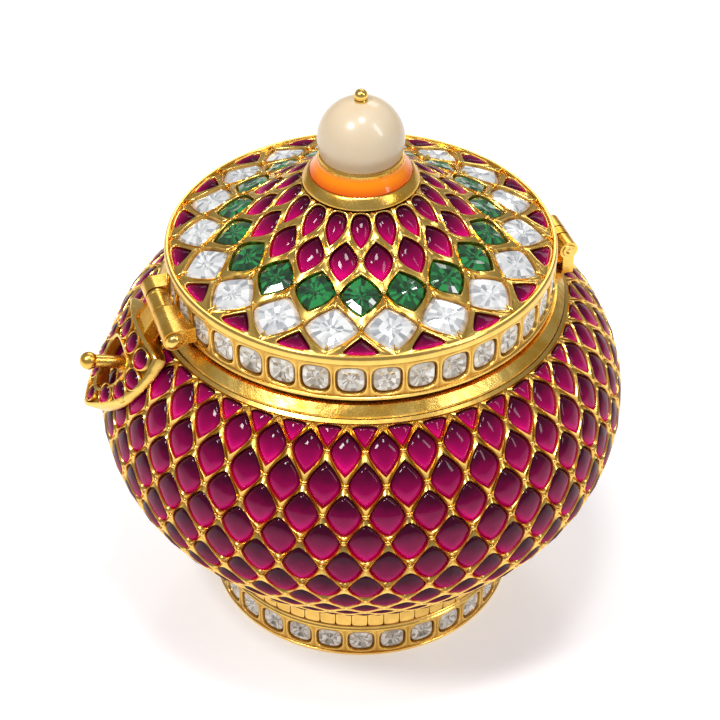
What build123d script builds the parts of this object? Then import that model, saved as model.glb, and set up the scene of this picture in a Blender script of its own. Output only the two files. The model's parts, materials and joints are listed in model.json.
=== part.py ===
"""Sindoor box: a round gem-set pot with a hinged, pearl-topped lid and a hasp that drops over a peg.

Millimetres. The origin is the centre of the foot's underside and +Z is up.
The clasp is on -Y, the lid's hinge on +Y.
"""

import os
from math import asin, atan2, cos, degrees, pi, radians, sin, sqrt

from build123d import *

# fits and gaps
SEAT = 0.01  # pieces that rest on or are soldered to one another
STONE_GAP = 0.05  # stone to the wall of its setting
RUNNING = 0.05  # radial play of a knuckle on its pin
MOVE = 0.3  # pieces of different bodies that pass one another

# pot outline: three arcs that share their tangents, given by the outer ridges
BELLY_R = 25.45
BELLY_Z = 22.9
UPPER_ARC = 13.89
LOWER_ARC = 15.0
LOWER_TURN = 35.0  # degrees below level where the lower arc meets the flatter one
TAPER_ARC = 45.6
POT_TOP_Z = 34.4
FOOT_TOP_Z = 6.05
SETTING_DEPTH = 1.0  # open lattice of gold walls
SHELL_WALL = 0.9  # sheet behind the lattice

# lattice of the pot: 40 columns, rows given by the surface's angle above level
COLUMNS = 40
POT_PHASE = 1.5
ROW_ANGLES = (43.8, 31.0, 19.3, 8.1, -4.1, -15.6, -26.2, -35.4, -38.8, -42.0, -44.9)
TOP_ANGLE = 54.2
BOTTOM_ANGLE = -47.6
WALL = 0.6  # gold wall between two windows
STRIP_GAP = 0.03  # degrees of solder between two zigzag strips
STONE_SINK = 0.12  # dome of a stone below the ridges

# foot
FOOT_INSET = 0.115  # foot inside the end of the pot's outline
FOOT_WALL = 2.6
FOOT_BAND_TOP = 3.8
FOOT_STONES = 30
FOOT_STONE_LOW = 0.75
FOOT_STONE_HIGH = 3.3
FOOT_PHASE = 6.5
FACETS = 60
BASE_THICK = 0.8
BAND_GOLD = 0.25  # half of the gold between two stones of a band
BAND_POCKET = 0.9

# mouth
COLLAR_INSET = 0.05  # collar inside the top of the pot's outline
COLLAR_SLOPE = 0.75
COLLAR_HEIGHT = 0.95
CUP_WALL = 0.6
CUP_CLEAR = 0.05  # cup to the top of the shell
CUP_RAISE = 2.45  # cup over the floor of the shell
CUP_ROUND = 4.0
CUP_LIP = 0.9
CUP_FLANGE_T = 0.5

# lid
SEAM = 0.3
LID_STEP = 0.2  # lid inside the top edge of the collar
RIM_HEIGHT = 4.65
RIM_LIP = 0.2
RIM_WALL = 1.5
RIM_STONES = 36
RIM_STONE_LOW = 0.7  # above the rim's lower edge
RIM_STONE_HIGH = 3.65
RIM_PHASE = 9.75
SHOULDER_R = 5.5  # where the slope meets the finial
# share of the run from the finial to the rim, and rise above the rim
LID_SLOPE = ((1.0, 0.15), (0.714, 1.25), (0.449, 2.75), (0.211, 4.7), (0.0, 6.55))
NECK_STEP = 0.6  # rise of the sheet under the finial, inside the slope's end
LID_SETTING = 1.0  # depth of the lid's gold walls, measured upright
LID_SHEET = 0.8
FOLD = 18
LID_PHASE = 2.5
PLUG_DEEP = 1.2
PLUG_WALL = 0.9
LID_RINGS = {
    # share of the run, half of the gold between, half length as a share of the run, sides, phase
    "lid_clear_stones": (0.841, 0.56, 0.126, 8, 10.0),
    "lid_green_stones": (0.564, 0.35, 0.128, 8, 0.0),
    "lid_outer_rubies": (0.313, 0.35, 0.128, 6, 10.0),
    "lid_inner_rubies": (0.1145, 0.33, 0.0985, 6, 0.0),
}
EDGE_LAND = 0.12  # gold outside the rubies at the edge
EDGE_HALF = 0.43  # of the space between two of them
EDGE_OUT = 0.046  # share of the run
EDGE_IN = 0.11

# finial
FINIAL_SEAT = 0.05  # collar of the finial over the end of the slope
FINIAL_R = 5.41
FINIAL_HEIGHT = 1.0
ENAMEL_R = 4.66
ENAMEL_HEIGHT = 1.75
PEARL_R = 4.0
PEARL_RAISE = 3.3  # middle of the pearl over the finial's collar
PIN_R = 0.4
BALL_R = 0.62
BALL_RAISE = 0.47  # middle of the ball over the pearl
WASHER_T = 0.4
NUT_T = 1.0
PIN_END = 0.6  # end of the pin below its nut

# lid hinge at the back
HINGE_OUT = 1.1  # axis outside the lid's rim
HINGE_RAISE = 1.65  # axis over the rim's lower edge
HINGE_KNUCKLE = 0.9
HINGE_NEAR = 4.0  # ends of the knuckles, towards +X and towards -X
HINGE_FAR = 0.9
HINGE_SPLIT_NEAR = 2.2  # ends of the lid's own knuckle
HINGE_SPLIT_FAR = 1.0
HINGE_INSET = 0.3  # leaf inside the outer ends of its knuckles
KNUCKLE_GAP = 0.15

# clasp at the front
CLASP_OUT = 1.1
CLASP_RAISE = 1.25
CLASP_KNUCKLE = 1.05
CLASP_NEAR = 5.8  # ends of the knuckles, to the right and to the left of the hasp's middle
CLASP_FAR = 3.1
CLASP_SPLIT_NEAR = 1.75  # ends of the hasp's own knuckle
CLASP_SPLIT_FAR = 1.2
CLASP_LINK = 0.1  # link inside the ends of its knuckle
HASP_TILT = 34.0
HASP_TOP = 2.7
HASP_BACK = 1.0
HASP_BEND = 13.0
HASP_OUTLINE = (
    (4.25, 0.0), (4.95, 0.9), (5.2, 1.9), (5.15, 3.2), (4.8, 4.7),
    (4.05, 6.3), (2.95, 7.7), (1.6, 8.95), (0.45, 9.8), (0.0, 9.95),
)
HASP_OPENING = (
    (0.0, 2.75), (1.2, 2.85), (2.15, 3.2), (2.45, 4.15),
    (2.1, 5.5), (1.4, 6.7), (0.6, 7.45), (0.0, 7.65),
)
HASP_STONES = (
    # across, down, half width, half length, turn
    (1.15, 1.42, 0.92, 0.98, 0.0), (3.4, 1.55, 0.98, 0.92, 30.0), (3.86, 3.6, 0.86, 0.98, 80.0),
    (3.32, 5.48, 0.8, 0.92, 60.0), (1.95, 7.08, 0.8, 0.9, 34.0),
)
HASP_TIP_STONE = (0.0, 8.55, 0.62, 0.72, 0.0)
HASP_POCKET = 0.8
PEG_R = 0.62
PEG_BALL = 0.85
PEG_RISE = 17.0
PEG_DOWN = 3.55  # foot of the peg below the pot's top
PEG_REACH = 3.71  # from its foot to the middle of its ball
PEG_SEAT_R = 1.1
PEG_SEAT_T = 0.35

# the meeting of the two lower arcs of the pot, and the flatter arc's centre
LOWER_CENTRE = (BELLY_R - LOWER_ARC, BELLY_Z)
TURN_POINT = (
    LOWER_CENTRE[0] + LOWER_ARC * cos(radians(LOWER_TURN)),
    LOWER_CENTRE[1] - LOWER_ARC * sin(radians(LOWER_TURN)),
)
TAPER_CENTRE = (
    TURN_POINT[0] - TAPER_ARC * cos(radians(LOWER_TURN)),
    TURN_POINT[1] + TAPER_ARC * sin(radians(LOWER_TURN)),
)
UPPER_CENTRE = (BELLY_R - UPPER_ARC, BELLY_Z)


def pot_point(angle, depth=0.0):
    """Radius and height of the pot's outline where its surface faces `angle` degrees above level."""
    a = radians(angle)
    if angle >= 0:
        centre, size = UPPER_CENTRE, UPPER_ARC
    elif angle >= -LOWER_TURN:
        centre, size = LOWER_CENTRE, LOWER_ARC
    else:
        centre, size = TAPER_CENTRE, TAPER_ARC
    return centre[0] + (size - depth) * cos(a), centre[1] + (size - depth) * sin(a)


def angle_at(height, depth=0.0):
    """The outline's facing angle at a height, at a depth below the ridges."""
    if height >= BELLY_Z:
        return degrees(asin((height - BELLY_Z) / (UPPER_ARC - depth)))
    if height >= LOWER_CENTRE[1] - (LOWER_ARC - depth) * sin(radians(LOWER_TURN)):
        return degrees(asin((height - BELLY_Z) / (LOWER_ARC - depth)))
    return degrees(asin((height - TAPER_CENTRE[1]) / (TAPER_ARC - depth)))


# sizes that follow from the pot's outline
FOOT_R = pot_point(angle_at(FOOT_TOP_Z))[0] - FOOT_INSET
FOOT_INNER = FOOT_R - FOOT_WALL
SHELL_FLOOR = FOOT_TOP_Z + SHELL_WALL
SHELL_DEPTH = SETTING_DEPTH + SHELL_WALL
CUP_R = pot_point(angle_at(POT_TOP_Z, SHELL_DEPTH), SHELL_DEPTH)[0] - CUP_CLEAR
CUP_FLOOR = SHELL_FLOOR + CUP_RAISE
CUP_FLANGE = CUP_R + CUP_LIP
MOUTH_R = CUP_R - CUP_WALL
COLLAR_R = pot_point(angle_at(POT_TOP_Z))[0] - COLLAR_INSET
COLLAR_TOP_R = COLLAR_R - COLLAR_SLOPE
COLLAR_TOP_Z = POT_TOP_Z + COLLAR_HEIGHT
LID_R = COLLAR_TOP_R - LID_STEP
LID_LOW = COLLAR_TOP_Z + SEAM
LID_HIGH = LID_LOW + RIM_HEIGHT
LID_EDGE = LID_R - RIM_WALL
LID_RUN = LID_EDGE - SHOULDER_R
LID_LINE = [(SHOULDER_R + share * LID_RUN, LID_HIGH + rise) for share, rise in LID_SLOPE]
NECK_R = SHOULDER_R - NECK_STEP
COLLAR_SEAT_Z = LID_LINE[-1][1] + FINIAL_SEAT
FINIAL_TOP_Z = COLLAR_SEAT_Z + FINIAL_HEIGHT
ENAMEL_TOP_Z = FINIAL_TOP_Z + ENAMEL_HEIGHT
PEARL_Z = FINIAL_TOP_Z + PEARL_RAISE
BALL_Z = PEARL_Z + PEARL_R + BALL_RAISE
HINGE_Y = LID_R + HINGE_OUT
HINGE_Z = LID_LOW + HINGE_RAISE
CLASP_Y = LID_R + CLASP_OUT
CLASP_Z = LID_LOW + CLASP_RAISE


def pot_edge(depth, top, bottom):
    """The outline as joined arcs on the XZ plane, from the top height down to the bottom height."""
    first, last = angle_at(top, depth), angle_at(bottom, depth)
    stops = [a for a in (first, 0.0, -LOWER_TURN) if a == first or a > last] + [last]
    arcs = []
    for a, b in zip(stops, stops[1:]):
        inside = (a + b) / 2
        lower = b < 0
        points = []
        for angle in (a, inside, b):
            # level points belong to both arcs
            points.append(pot_point(angle if angle != 0.0 or not lower else -1e-9, depth))
        arcs.append(ThreePointArc(*[(r, 0, z) for r, z in points]))
    return arcs


def turned(*edges):
    """A closed XZ outline turned about Z."""
    return revolve(make_face(Wire(list(edges))), Axis.Z)


def lathe(points):
    """A straight-sided XZ outline turned about Z."""
    return revolve(make_face(Polyline(*[(r, 0, z) for r, z in points], close=True)), Axis.Z)


def pot_layer(outer, inner, top, bottom, floor=None):
    """The wall of the pot between two depths below its ridges."""
    out = pot_edge(outer, top, bottom)
    back = pot_edge(inner, top, floor or bottom)
    start, end = out[0] @ 0, out[-1] @ 1
    inside_top, inside_low = back[0] @ 0, back[-1] @ 1
    if floor is None:
        edges = [*out, Line(end, inside_low), *back, Line(inside_top, start)]
    else:
        edges = [
            *out, Line(end, (0, 0, bottom)), Line((0, 0, bottom), (0, 0, floor)),
            Line((0, 0, floor), inside_low), *back, Line(inside_top, start),
        ]
    return turned(*edges)


def facing(radius, height, angle):
    """A work plane on the +X side: x runs round the object, y up the slope, z out of the surface."""
    a = radians(angle)
    return Plane(origin=(radius, 0, height), x_dir=(0, 1, 0), z_dir=(cos(a), 0, sin(a)))


def prism(plane, outline, low, high):
    """An outline on a plane, filled from one height above the plane to another."""
    face = make_face(Polyline(*[(x, y, 0) for x, y in outline], close=True))
    return plane * Pos(0, 0, low) * extrude(face, high - low, dir=(0, 0, 1))


def scaled(outline, by):
    """An outline moved inward by a distance on every side, round its middle."""
    mx = sum(p[0] for p in outline) / len(outline)
    my = sum(p[1] for p in outline) / len(outline)
    normals = []
    count = len(outline)
    for i in range(count):
        (ax, ay), (bx, by_) = outline[i], outline[(i + 1) % count]
        nx, ny = by_ - ay, ax - bx
        size = sqrt(nx * nx + ny * ny)
        nx, ny = nx / size, ny / size
        if (mx - ax) * nx + (my - ay) * ny > 0:
            nx, ny = -nx, -ny
        normals.append((nx, ny, nx * ax + ny * ay - by))
    points = []
    for i in range(count):
        a, b = normals[i - 1], normals[i]
        det = a[0] * b[1] - a[1] * b[0]
        points.append(((a[2] * b[1] - b[2] * a[1]) / det, (a[0] * b[2] - b[0] * a[2]) / det))
    return points


def cut_stone(plane, outline, low, girdle, high, table=0.35):
    """A stone with straight sides up to its girdle and a sloped crown above it."""
    body = prism(plane, outline, low, girdle)
    bottom = make_face(Polyline(*[(x, y, 0) for x, y in outline], close=True))
    top = make_face(Polyline(*[(x, y, 0) for x, y in scaled(outline, table)], close=True))
    crown = loft([Pos(0, 0, girdle) * bottom, Pos(0, 0, high) * top], ruled=True)
    return body + plane * crown


def oval(half_x, half_y, sides=8, turn=0.0, at=(0.0, 0.0)):
    """A rounded outline of a few straight sides."""
    points = []
    t = radians(turn)
    for i in range(sides):
        a = 2 * pi * (i + 0.5) / sides
        x, y = half_x * cos(a) / cos(pi / sides), half_y * sin(a) / cos(pi / sides)
        points.append((at[0] + x * cos(t) - y * sin(t), at[1] + x * sin(t) + y * cos(t)))
    return points


def ring(shape, count, phase):
    """Copies of a shape evenly round the Z axis."""
    return [Rot(0, 0, phase + 360.0 * i / count) * shape for i in range(count)]


def save(name, shape):
    """One named node as a STEP file; lists become one group of separate solids."""
    solids = []
    for item in shape if isinstance(shape, list) else [shape]:
        solids.extend(item.solids())
    whole = Compound(children=solids) if len(solids) > 1 else solids[0]
    whole.label = name
    export_step(whole, os.path.join("parts", name + ".step"))


def kite(row, above, below):
    """The window of one lattice cell in the plane that touches the pot at the cell's middle."""
    r, z = pot_point(row)
    a = radians(row)

    def height(angle):
        pr, pz = pot_point(angle)
        return (pr - r) * -sin(a) + (pz - z) * cos(a)

    half = pi * r / COLUMNS
    full = [(half, 0.0), (0.0, height(above)), (-half, 0.0), (0.0, height(below))]
    return scaled(full, WALL / 2)


def zigzag(tools):
    """One of the strips of the lattice: a narrow slice of the layer with its windows cut away."""
    turn = 360.0 / COLUMNS - STRIP_GAP
    out = pot_edge(0.0, POT_TOP_Z, FOOT_TOP_Z)
    back = pot_edge(SETTING_DEPTH, POT_TOP_Z, FOOT_TOP_Z)
    section = make_face(Wire([
        *out, Line(out[-1] @ 1, back[-1] @ 1), *back, Line(back[0] @ 0, out[0] @ 0),
    ]))
    return Rot(0, 0, -turn / 2) * revolve(section, Axis.Z, revolution_arc=turn) - tools


def pot_pieces():
    """The zigzag strips that make the pot's lattice, and the stones in its windows."""
    stops = (TOP_ANGLE, *ROW_ANGLES, BOTTOM_ANGLE)
    tools, stones = [], {}
    last = len(ROW_ANGLES) + 1
    half_turn = 180.0 / COLUMNS
    for i, row in enumerate(ROW_ANGLES):
        # cells of a row stand over the gaps of the row below
        centred = i % 2 == 1
        outline = kite(row, stops[i], stops[i + 2])
        plane = facing(*pot_point(row), row)
        tool = prism(plane, outline, -SETTING_DEPTH - 0.6, 0.9)
        tools += [tool] if centred else [Rot(0, 0, side * half_turn) * tool for side in (-1, 1)]
        low = -SETTING_DEPTH + SEAT
        stone = cut_stone(plane, scaled(outline, STONE_GAP), low, -0.45, -STONE_SINK)
        stones[i + 1] = ring(stone, COLUMNS, POT_PHASE + (0.0 if centred else half_turn))
    # half cells under the collar and over the foot
    for edge, near, number, sign in (
        (TOP_ANGLE, ROW_ANGLES[0], 0, -1.0), (BOTTOM_ANGLE, ROW_ANGLES[-1], last, 1.0)
    ):
        r, z = pot_point(edge)
        nr, nz = pot_point(near)
        reach = sqrt((nr - r) ** 2 + (nz - z) ** 2)
        half = pi * r / COLUMNS
        outline = scaled([(half, 0.0), (0.0, sign * reach), (-half, 0.0)], WALL / 2)
        plane = facing(r, z, edge)
        tools.append(prism(plane, outline, -SETTING_DEPTH - 0.6, 0.9))
        low = -SETTING_DEPTH + SEAT
        stone = cut_stone(plane, scaled(outline, STONE_GAP), low, -0.45, -STONE_SINK, table=0.2)
        stones[number] = ring(stone, COLUMNS, POT_PHASE)
    return ring(zigzag(tools), COLUMNS, POT_PHASE), stones


def pocketed(band, radius, middle, half_w, half_h, deep, count, phase, corner=0.5):
    """A band with a ring of shallow cushion pockets, and the stones that fill them."""
    outline = [
        (half_w, half_h - corner), (half_w - corner, half_h), (corner - half_w, half_h),
        (-half_w, half_h - corner), (-half_w, corner - half_h), (corner - half_w, -half_h),
        (half_w - corner, -half_h), (half_w, corner - half_h),
    ]
    plane = facing(radius, middle, 0.0)
    floor = -deep
    tool = prism(plane, outline, floor, 1.0)
    stone = cut_stone(
        plane, scaled(outline, STONE_GAP), floor + SEAT, floor + 0.4 * deep, -STONE_SINK - 0.05, 0.4
    )
    return band - ring(tool, count, phase), ring(stone, count, phase)


def foot_pieces():
    """Base plate, stone band and faceted ring of the foot."""
    band = lathe([
        (FOOT_INNER, 0), (FOOT_R - 0.15, 0), (FOOT_R, 0.15), (FOOT_R, FOOT_BAND_TOP - 0.15),
        (FOOT_R - 0.15, FOOT_BAND_TOP), (FOOT_INNER, FOOT_BAND_TOP),
    ])
    middle = (FOOT_STONE_LOW + FOOT_STONE_HIGH) / 2
    half_h = (FOOT_STONE_HIGH - FOOT_STONE_LOW) / 2
    half_w = pi * FOOT_R / FOOT_STONES - BAND_GOLD
    band, stones = pocketed(
        band, FOOT_R, middle, half_w, half_h, BAND_POCKET, FOOT_STONES, FOOT_PHASE
    )
    low = FOOT_BAND_TOP + SEAT
    top = FOOT_TOP_Z - SEAT
    ledge = lathe([(FOOT_INNER, low), (FOOT_R, low), (FOOT_R, low + 0.35), (FOOT_INNER, low + 0.35)])
    many = RegularPolygon(radius=FOOT_R - 0.02, side_count=FACETS)
    facets = Pos(0, 0, low) * extrude(many, top - low, dir=(0, 0, 1))
    bore = Pos(0, 0, low - 1) * extrude(Circle(FOOT_INNER), 6, dir=(0, 0, 1))
    plate = lathe([
        (0, 0), (FOOT_INNER - SEAT, 0), (FOOT_INNER - SEAT, BASE_THICK), (0, BASE_THICK),
    ])
    return {
        "base_plate": plate,
        "foot_band": band,
        "foot_stones": stones,
        "foot_facet_ring": facets - bore + ledge,
    }


def mouth_pieces():
    """Collar round the mouth and the cup that hangs in it."""
    low = POT_TOP_Z + SEAT
    rebate = COLLAR_TOP_Z - CUP_FLANGE_T - SEAT
    bore = CUP_R + SEAT
    collar = lathe([
        (bore, low), (COLLAR_R, low), (COLLAR_R, low + 0.25), (COLLAR_TOP_R, COLLAR_TOP_Z),
        (CUP_FLANGE + SEAT, COLLAR_TOP_Z), (CUP_FLANGE + SEAT, rebate), (bore, rebate),
    ])
    out = CUP_R
    round_r = CUP_ROUND
    under = COLLAR_TOP_Z - CUP_FLANGE_T
    bend = round_r * (1 - 1 / sqrt(2))
    inner_r = round_r - CUP_WALL
    inner_bend = inner_r * (1 - 1 / sqrt(2))
    top_floor = CUP_FLOOR + CUP_WALL
    cup = turned(
        Line((0, 0, CUP_FLOOR), (out - round_r, 0, CUP_FLOOR)),
        ThreePointArc(
            (out - round_r, 0, CUP_FLOOR), (out - bend, 0, CUP_FLOOR + bend), (out, 0, CUP_FLOOR + round_r)
        ),
        Line((out, 0, CUP_FLOOR + round_r), (out, 0, under)),
        Line((out, 0, under), (CUP_FLANGE, 0, under)),
        Line((CUP_FLANGE, 0, under), (CUP_FLANGE, 0, COLLAR_TOP_Z)),
        Line((CUP_FLANGE, 0, COLLAR_TOP_Z), (MOUTH_R, 0, COLLAR_TOP_Z)),
        Line((MOUTH_R, 0, COLLAR_TOP_Z), (MOUTH_R, 0, top_floor + inner_r)),
        ThreePointArc(
            (MOUTH_R, 0, top_floor + inner_r),
            (MOUTH_R - inner_bend, 0, top_floor + inner_bend),
            (MOUTH_R - inner_r, 0, top_floor),
        ),
        Line((MOUTH_R - inner_r, 0, top_floor), (0, 0, top_floor)),
        Line((0, 0, top_floor), (0, 0, CUP_FLOOR)),
    )
    return {"mouth_collar": collar, "inner_cup": cup}


def slope_at(radius):
    """Height and facing angle of the lid's ridges at a radius."""
    for (r0, z0), (r1, z1) in zip(LID_LINE, LID_LINE[1:]):
        if r1 <= radius:
            break
    rise = (z1 - z0) / (r0 - r1)
    return z0 + (r0 - radius) * rise, 90.0 - degrees(atan2(z1 - z0, r0 - r1))


def lid_pieces():
    """Sheet, lattice and stones of the lid's sloping top, and the stone band of its rim."""
    outer = LID_EDGE - SEAT
    top = [(outer, LID_LINE[0][1])] + LID_LINE[1:]
    under = [(r, z - LID_SETTING) for r, z in reversed(top)]
    layer = lathe(top + under)
    pieces, tools = {}, []
    for name, (share, gold, length, sides, shift) in LID_RINGS.items():
        radius = SHOULDER_R + share * LID_RUN
        z, angle = slope_at(radius)
        plane = facing(radius, z, angle)
        outline = oval(pi * radius / FOLD - gold, length * LID_RUN, sides)
        upright = LID_SETTING * sin(radians(angle))
        tools += ring(prism(plane, outline, -1.6, 0.9), FOLD, LID_PHASE + shift)
        stone = cut_stone(
            plane, scaled(outline, STONE_GAP), -upright + 0.12, -0.4, -STONE_SINK, 0.35
        )
        pieces[name] = ring(stone, FOLD, LID_PHASE + shift)
    radius = LID_EDGE - EDGE_LAND - EDGE_OUT * LID_RUN
    z, angle = slope_at(radius)
    plane = facing(radius, z, angle)
    half_w = EDGE_HALF * pi * radius / FOLD
    low, high = -EDGE_OUT * LID_RUN, EDGE_IN * LID_RUN
    edge = [(half_w, low), (-half_w, low), (0.0, high)]
    tools += ring(prism(plane, edge, -1.6, 0.9), FOLD, LID_PHASE)
    upright = LID_SETTING * sin(radians(angle))
    stone = cut_stone(plane, scaled(edge, STONE_GAP), -upright + 0.12, -0.4, -STONE_SINK, 0.2)
    pieces["lid_edge_rubies"] = ring(stone, FOLD, LID_PHASE)
    pieces["lid_setting"] = layer - tools

    drop = LID_SETTING + SEAT
    sheet_top = [(r, z - drop) for r, z in top]
    sheet_low = [(r, z - LID_SHEET) for r, z in sheet_top]
    plug = MOUTH_R - MOVE
    rim = [
        (plug - PLUG_WALL - 0.7, LID_LOW + 2.6), (plug - PLUG_WALL, LID_LOW + 0.9),
        (plug - PLUG_WALL, LID_LOW - PLUG_DEEP), (plug - 0.15, LID_LOW - PLUG_DEEP),
        (plug, LID_LOW), (outer, LID_LOW),
    ]
    hole = PIN_R + SEAT
    cap_z = COLLAR_SEAT_Z - SEAT
    plate = lathe([
        *sheet_top, (NECK_R, sheet_top[-1][1]), (NECK_R, cap_z), (hole, cap_z),
        (hole, sheet_low[-1][1]), *reversed(sheet_low[2:]), *rim,
    ])
    pieces["lid_plate"] = plate

    band = lathe([
        (LID_EDGE, LID_LOW), (LID_R - 0.1, LID_LOW), (LID_R, LID_LOW + 0.1),
        (LID_R, LID_HIGH - 0.15), (LID_R - 0.15, LID_HIGH), (LID_R - 0.6, LID_HIGH + RIM_LIP),
        (LID_EDGE, LID_HIGH + RIM_LIP),
    ])
    middle = LID_LOW + (RIM_STONE_LOW + RIM_STONE_HIGH) / 2
    half_h = (RIM_STONE_HIGH - RIM_STONE_LOW) / 2
    half_w = pi * LID_R / RIM_STONES - BAND_GOLD
    band, stones = pocketed(band, LID_R, middle, half_w, half_h, BAND_POCKET, RIM_STONES, RIM_PHASE)
    pieces["lid_rim_band"] = band
    pieces["lid_rim_stones"] = stones
    return pieces


def finial_pieces():
    """Collar, enamel ring, bezel, bored pearl and the pin that clamps them, with its washer and nut."""
    hole = PIN_R + SEAT
    seat = COLLAR_SEAT_Z
    collar = lathe([
        (hole, seat), (FINIAL_R, seat), (FINIAL_R, seat + 0.12), (FINIAL_R - 0.12, seat + 0.34),
        (ENAMEL_R + 0.2, FINIAL_TOP_Z - 0.08), (ENAMEL_R + 0.08, FINIAL_TOP_Z), (hole, FINIAL_TOP_Z),
    ])
    low = FINIAL_TOP_Z + SEAT
    step = ENAMEL_TOP_Z - 0.35
    rim_z = ENAMEL_TOP_Z + 0.1
    seat_in = PEARL_R + 0.03

    def pearl_at(height):
        """Radius of the pearl's seat at a height."""
        return sqrt(seat_in ** 2 - (PEARL_Z - height) ** 2)

    split = pearl_at(rim_z) + 0.2  # outside of the enamel's top and of the bezel on it
    enamel = lathe([
        (pearl_at(low) + 0.1, low), (ENAMEL_R, low), (ENAMEL_R, low + 0.1), (ENAMEL_R - 0.26, low + 0.5),
        (split + 0.06, step - 0.25), (split, step), (pearl_at(step) + 0.02, step),
        (pearl_at(step - 0.25) + 0.02, step - 0.25), (pearl_at(low + 0.34) + 0.02, low + 0.34),
    ])
    bezel = lathe([
        (pearl_at(step + 0.2), step + SEAT), (split, step + SEAT), (split, step + 0.25),
        (split - 0.08, rim_z), (pearl_at(rim_z), rim_z),
    ])
    ball = Pos(0, 0, PEARL_Z) * Sphere(PEARL_R)
    keep = Pos(0, 0, PEARL_Z + PEARL_R) * Cylinder(PEARL_R + 1, 2 * (PEARL_Z + PEARL_R - low))
    bore = Pos(0, 0, PEARL_Z) * Cylinder(PIN_R + SEAT, 3 * PEARL_R)
    pearl = (ball & keep) - bore
    under = LID_LINE[-1][1] - LID_SETTING - SEAT - LID_SHEET
    washer_low = under - SEAT - WASHER_T
    nut_low = washer_low - SEAT - NUT_T
    shaft_low = nut_low - PIN_END
    washer = Pos(0, 0, washer_low + WASHER_T / 2) * (Cylinder(1.7, WASHER_T) - Cylinder(hole, 2))
    flats = Pos(0, 0, nut_low) * extrude(RegularPolygon(1.1, 6), NUT_T, dir=(0, 0, 1))
    nut = flats - Pos(0, 0, nut_low) * Cylinder(hole, 6)
    top = PEARL_Z + PEARL_R
    pin = Pos(0, 0, (shaft_low + BALL_Z) / 2) * Cylinder(PIN_R, BALL_Z - shaft_low)
    pin += Pos(0, 0, top + 0.12) * Cylinder(0.62, 0.2)
    pin += Pos(0, 0, BALL_Z) * Sphere(BALL_R)
    return {
        "finial_collar": collar,
        "enamel_ring": enamel,
        "pearl_bezel": bezel,
        "pearl": pearl,
        "finial_pin": pin,
        "finial_washer": washer,
        "finial_nut": nut,
    }


def along_x(radius, x0, x1, y, z):
    """A round bar parallel to the X axis."""
    return Pos((x0 + x1) / 2, y, z) * Rot(0, 90, 0) * Cylinder(radius, x1 - x0)


def rim_disc(clear):
    """The room that the lid's rim takes, with a clearance round it."""
    return Pos(0, 0, (LID_LOW + LID_HIGH) / 2) * Cylinder(LID_R + clear, RIM_HEIGHT + 1.0)


def hinge_pieces():
    """Lid hinge at the back: two knuckles on the pot, one on the lid, and its pin."""
    y, z, k = HINGE_Y, HINGE_Z, HINGE_KNUCKLE
    own_far, own_near = HINGE_SPLIT_FAR + KNUCKLE_GAP / 2, HINGE_SPLIT_NEAR - KNUCKLE_GAP / 2
    own_mid, middle = (own_near + own_far) / 2, (HINGE_NEAR - HINGE_FAR) / 2
    length = HINGE_NEAR + HINGE_FAR
    pot = None
    collar_clear = lathe([
        (0, POT_TOP_Z - 1), (COLLAR_R + SEAT, POT_TOP_Z - 1), (COLLAR_R + SEAT, POT_TOP_Z + 0.27),
        (COLLAR_TOP_R + 0.02, COLLAR_TOP_Z + 0.02), (0, COLLAR_TOP_Z + 0.02),
    ])
    for side, x0, x1 in (
        (-1, -HINGE_FAR, own_far - KNUCKLE_GAP), (1, own_near + KNUCKLE_GAP, HINGE_NEAR),
    ):
        bar = along_x(k, x0, x1, y, z)
        leaf_mid = (x0 + x1 - side * HINGE_INSET) / 2
        leaf = Pos(leaf_mid, y + 0.15, (POT_TOP_Z + 0.1 + z) / 2) * Box(
            x1 - x0 - HINGE_INSET, 1.1, z - POT_TOP_Z - 0.1
        )
        lobe = bar + leaf
        pot = lobe if pot is None else pot + lobe
    foot = Pos(middle, y + 0.35, POT_TOP_Z + 0.45) * Box(length - 2 * HINGE_INSET, 0.7, 0.7)
    pot = pot + foot
    pot = pot - collar_clear - along_x(PIN_R + SEAT, -HINGE_FAR - 1, HINGE_NEAR + 1, y, z)
    pot = pot - rim_disc(MOVE)
    pot = pot - along_x(k + MOVE, own_far - KNUCKLE_GAP, own_near + KNUCKLE_GAP, y, z)
    lid = along_x(k, own_far, own_near, y, z)
    lid += Pos(own_mid, y - 0.65, z + 0.1) * Box(own_near - own_far, 1.3, 1.5)
    lid = lid - rim_disc(SEAT)
    lid = lid - along_x(PIN_R + RUNNING, -HINGE_FAR, HINGE_NEAR, y, z)
    pin = along_x(PIN_R, -HINGE_FAR - 0.15, HINGE_NEAR + 0.15, y, z)
    return {"hinge_pot_leaf": pot, "hinge_lid_leaf": lid, "hinge_pin": pin}


def hasp_frame():
    """Work plane of the hasp: x along its hinge, y up the plate, z out of its face."""
    t = radians(HASP_TILT)
    return Plane(origin=(0, -CLASP_Y, CLASP_Z), x_dir=(1, 0, 0), z_dir=(0, -cos(t), sin(t)))


def mirrored(points):
    """A half outline made whole about the plate's middle line, with y running up the plate."""
    right = [(x, -HASP_TOP - v) for x, v in points]
    left = [(-x, y) for x, y in reversed(right) if x > 1e-6]
    return right + left


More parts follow.
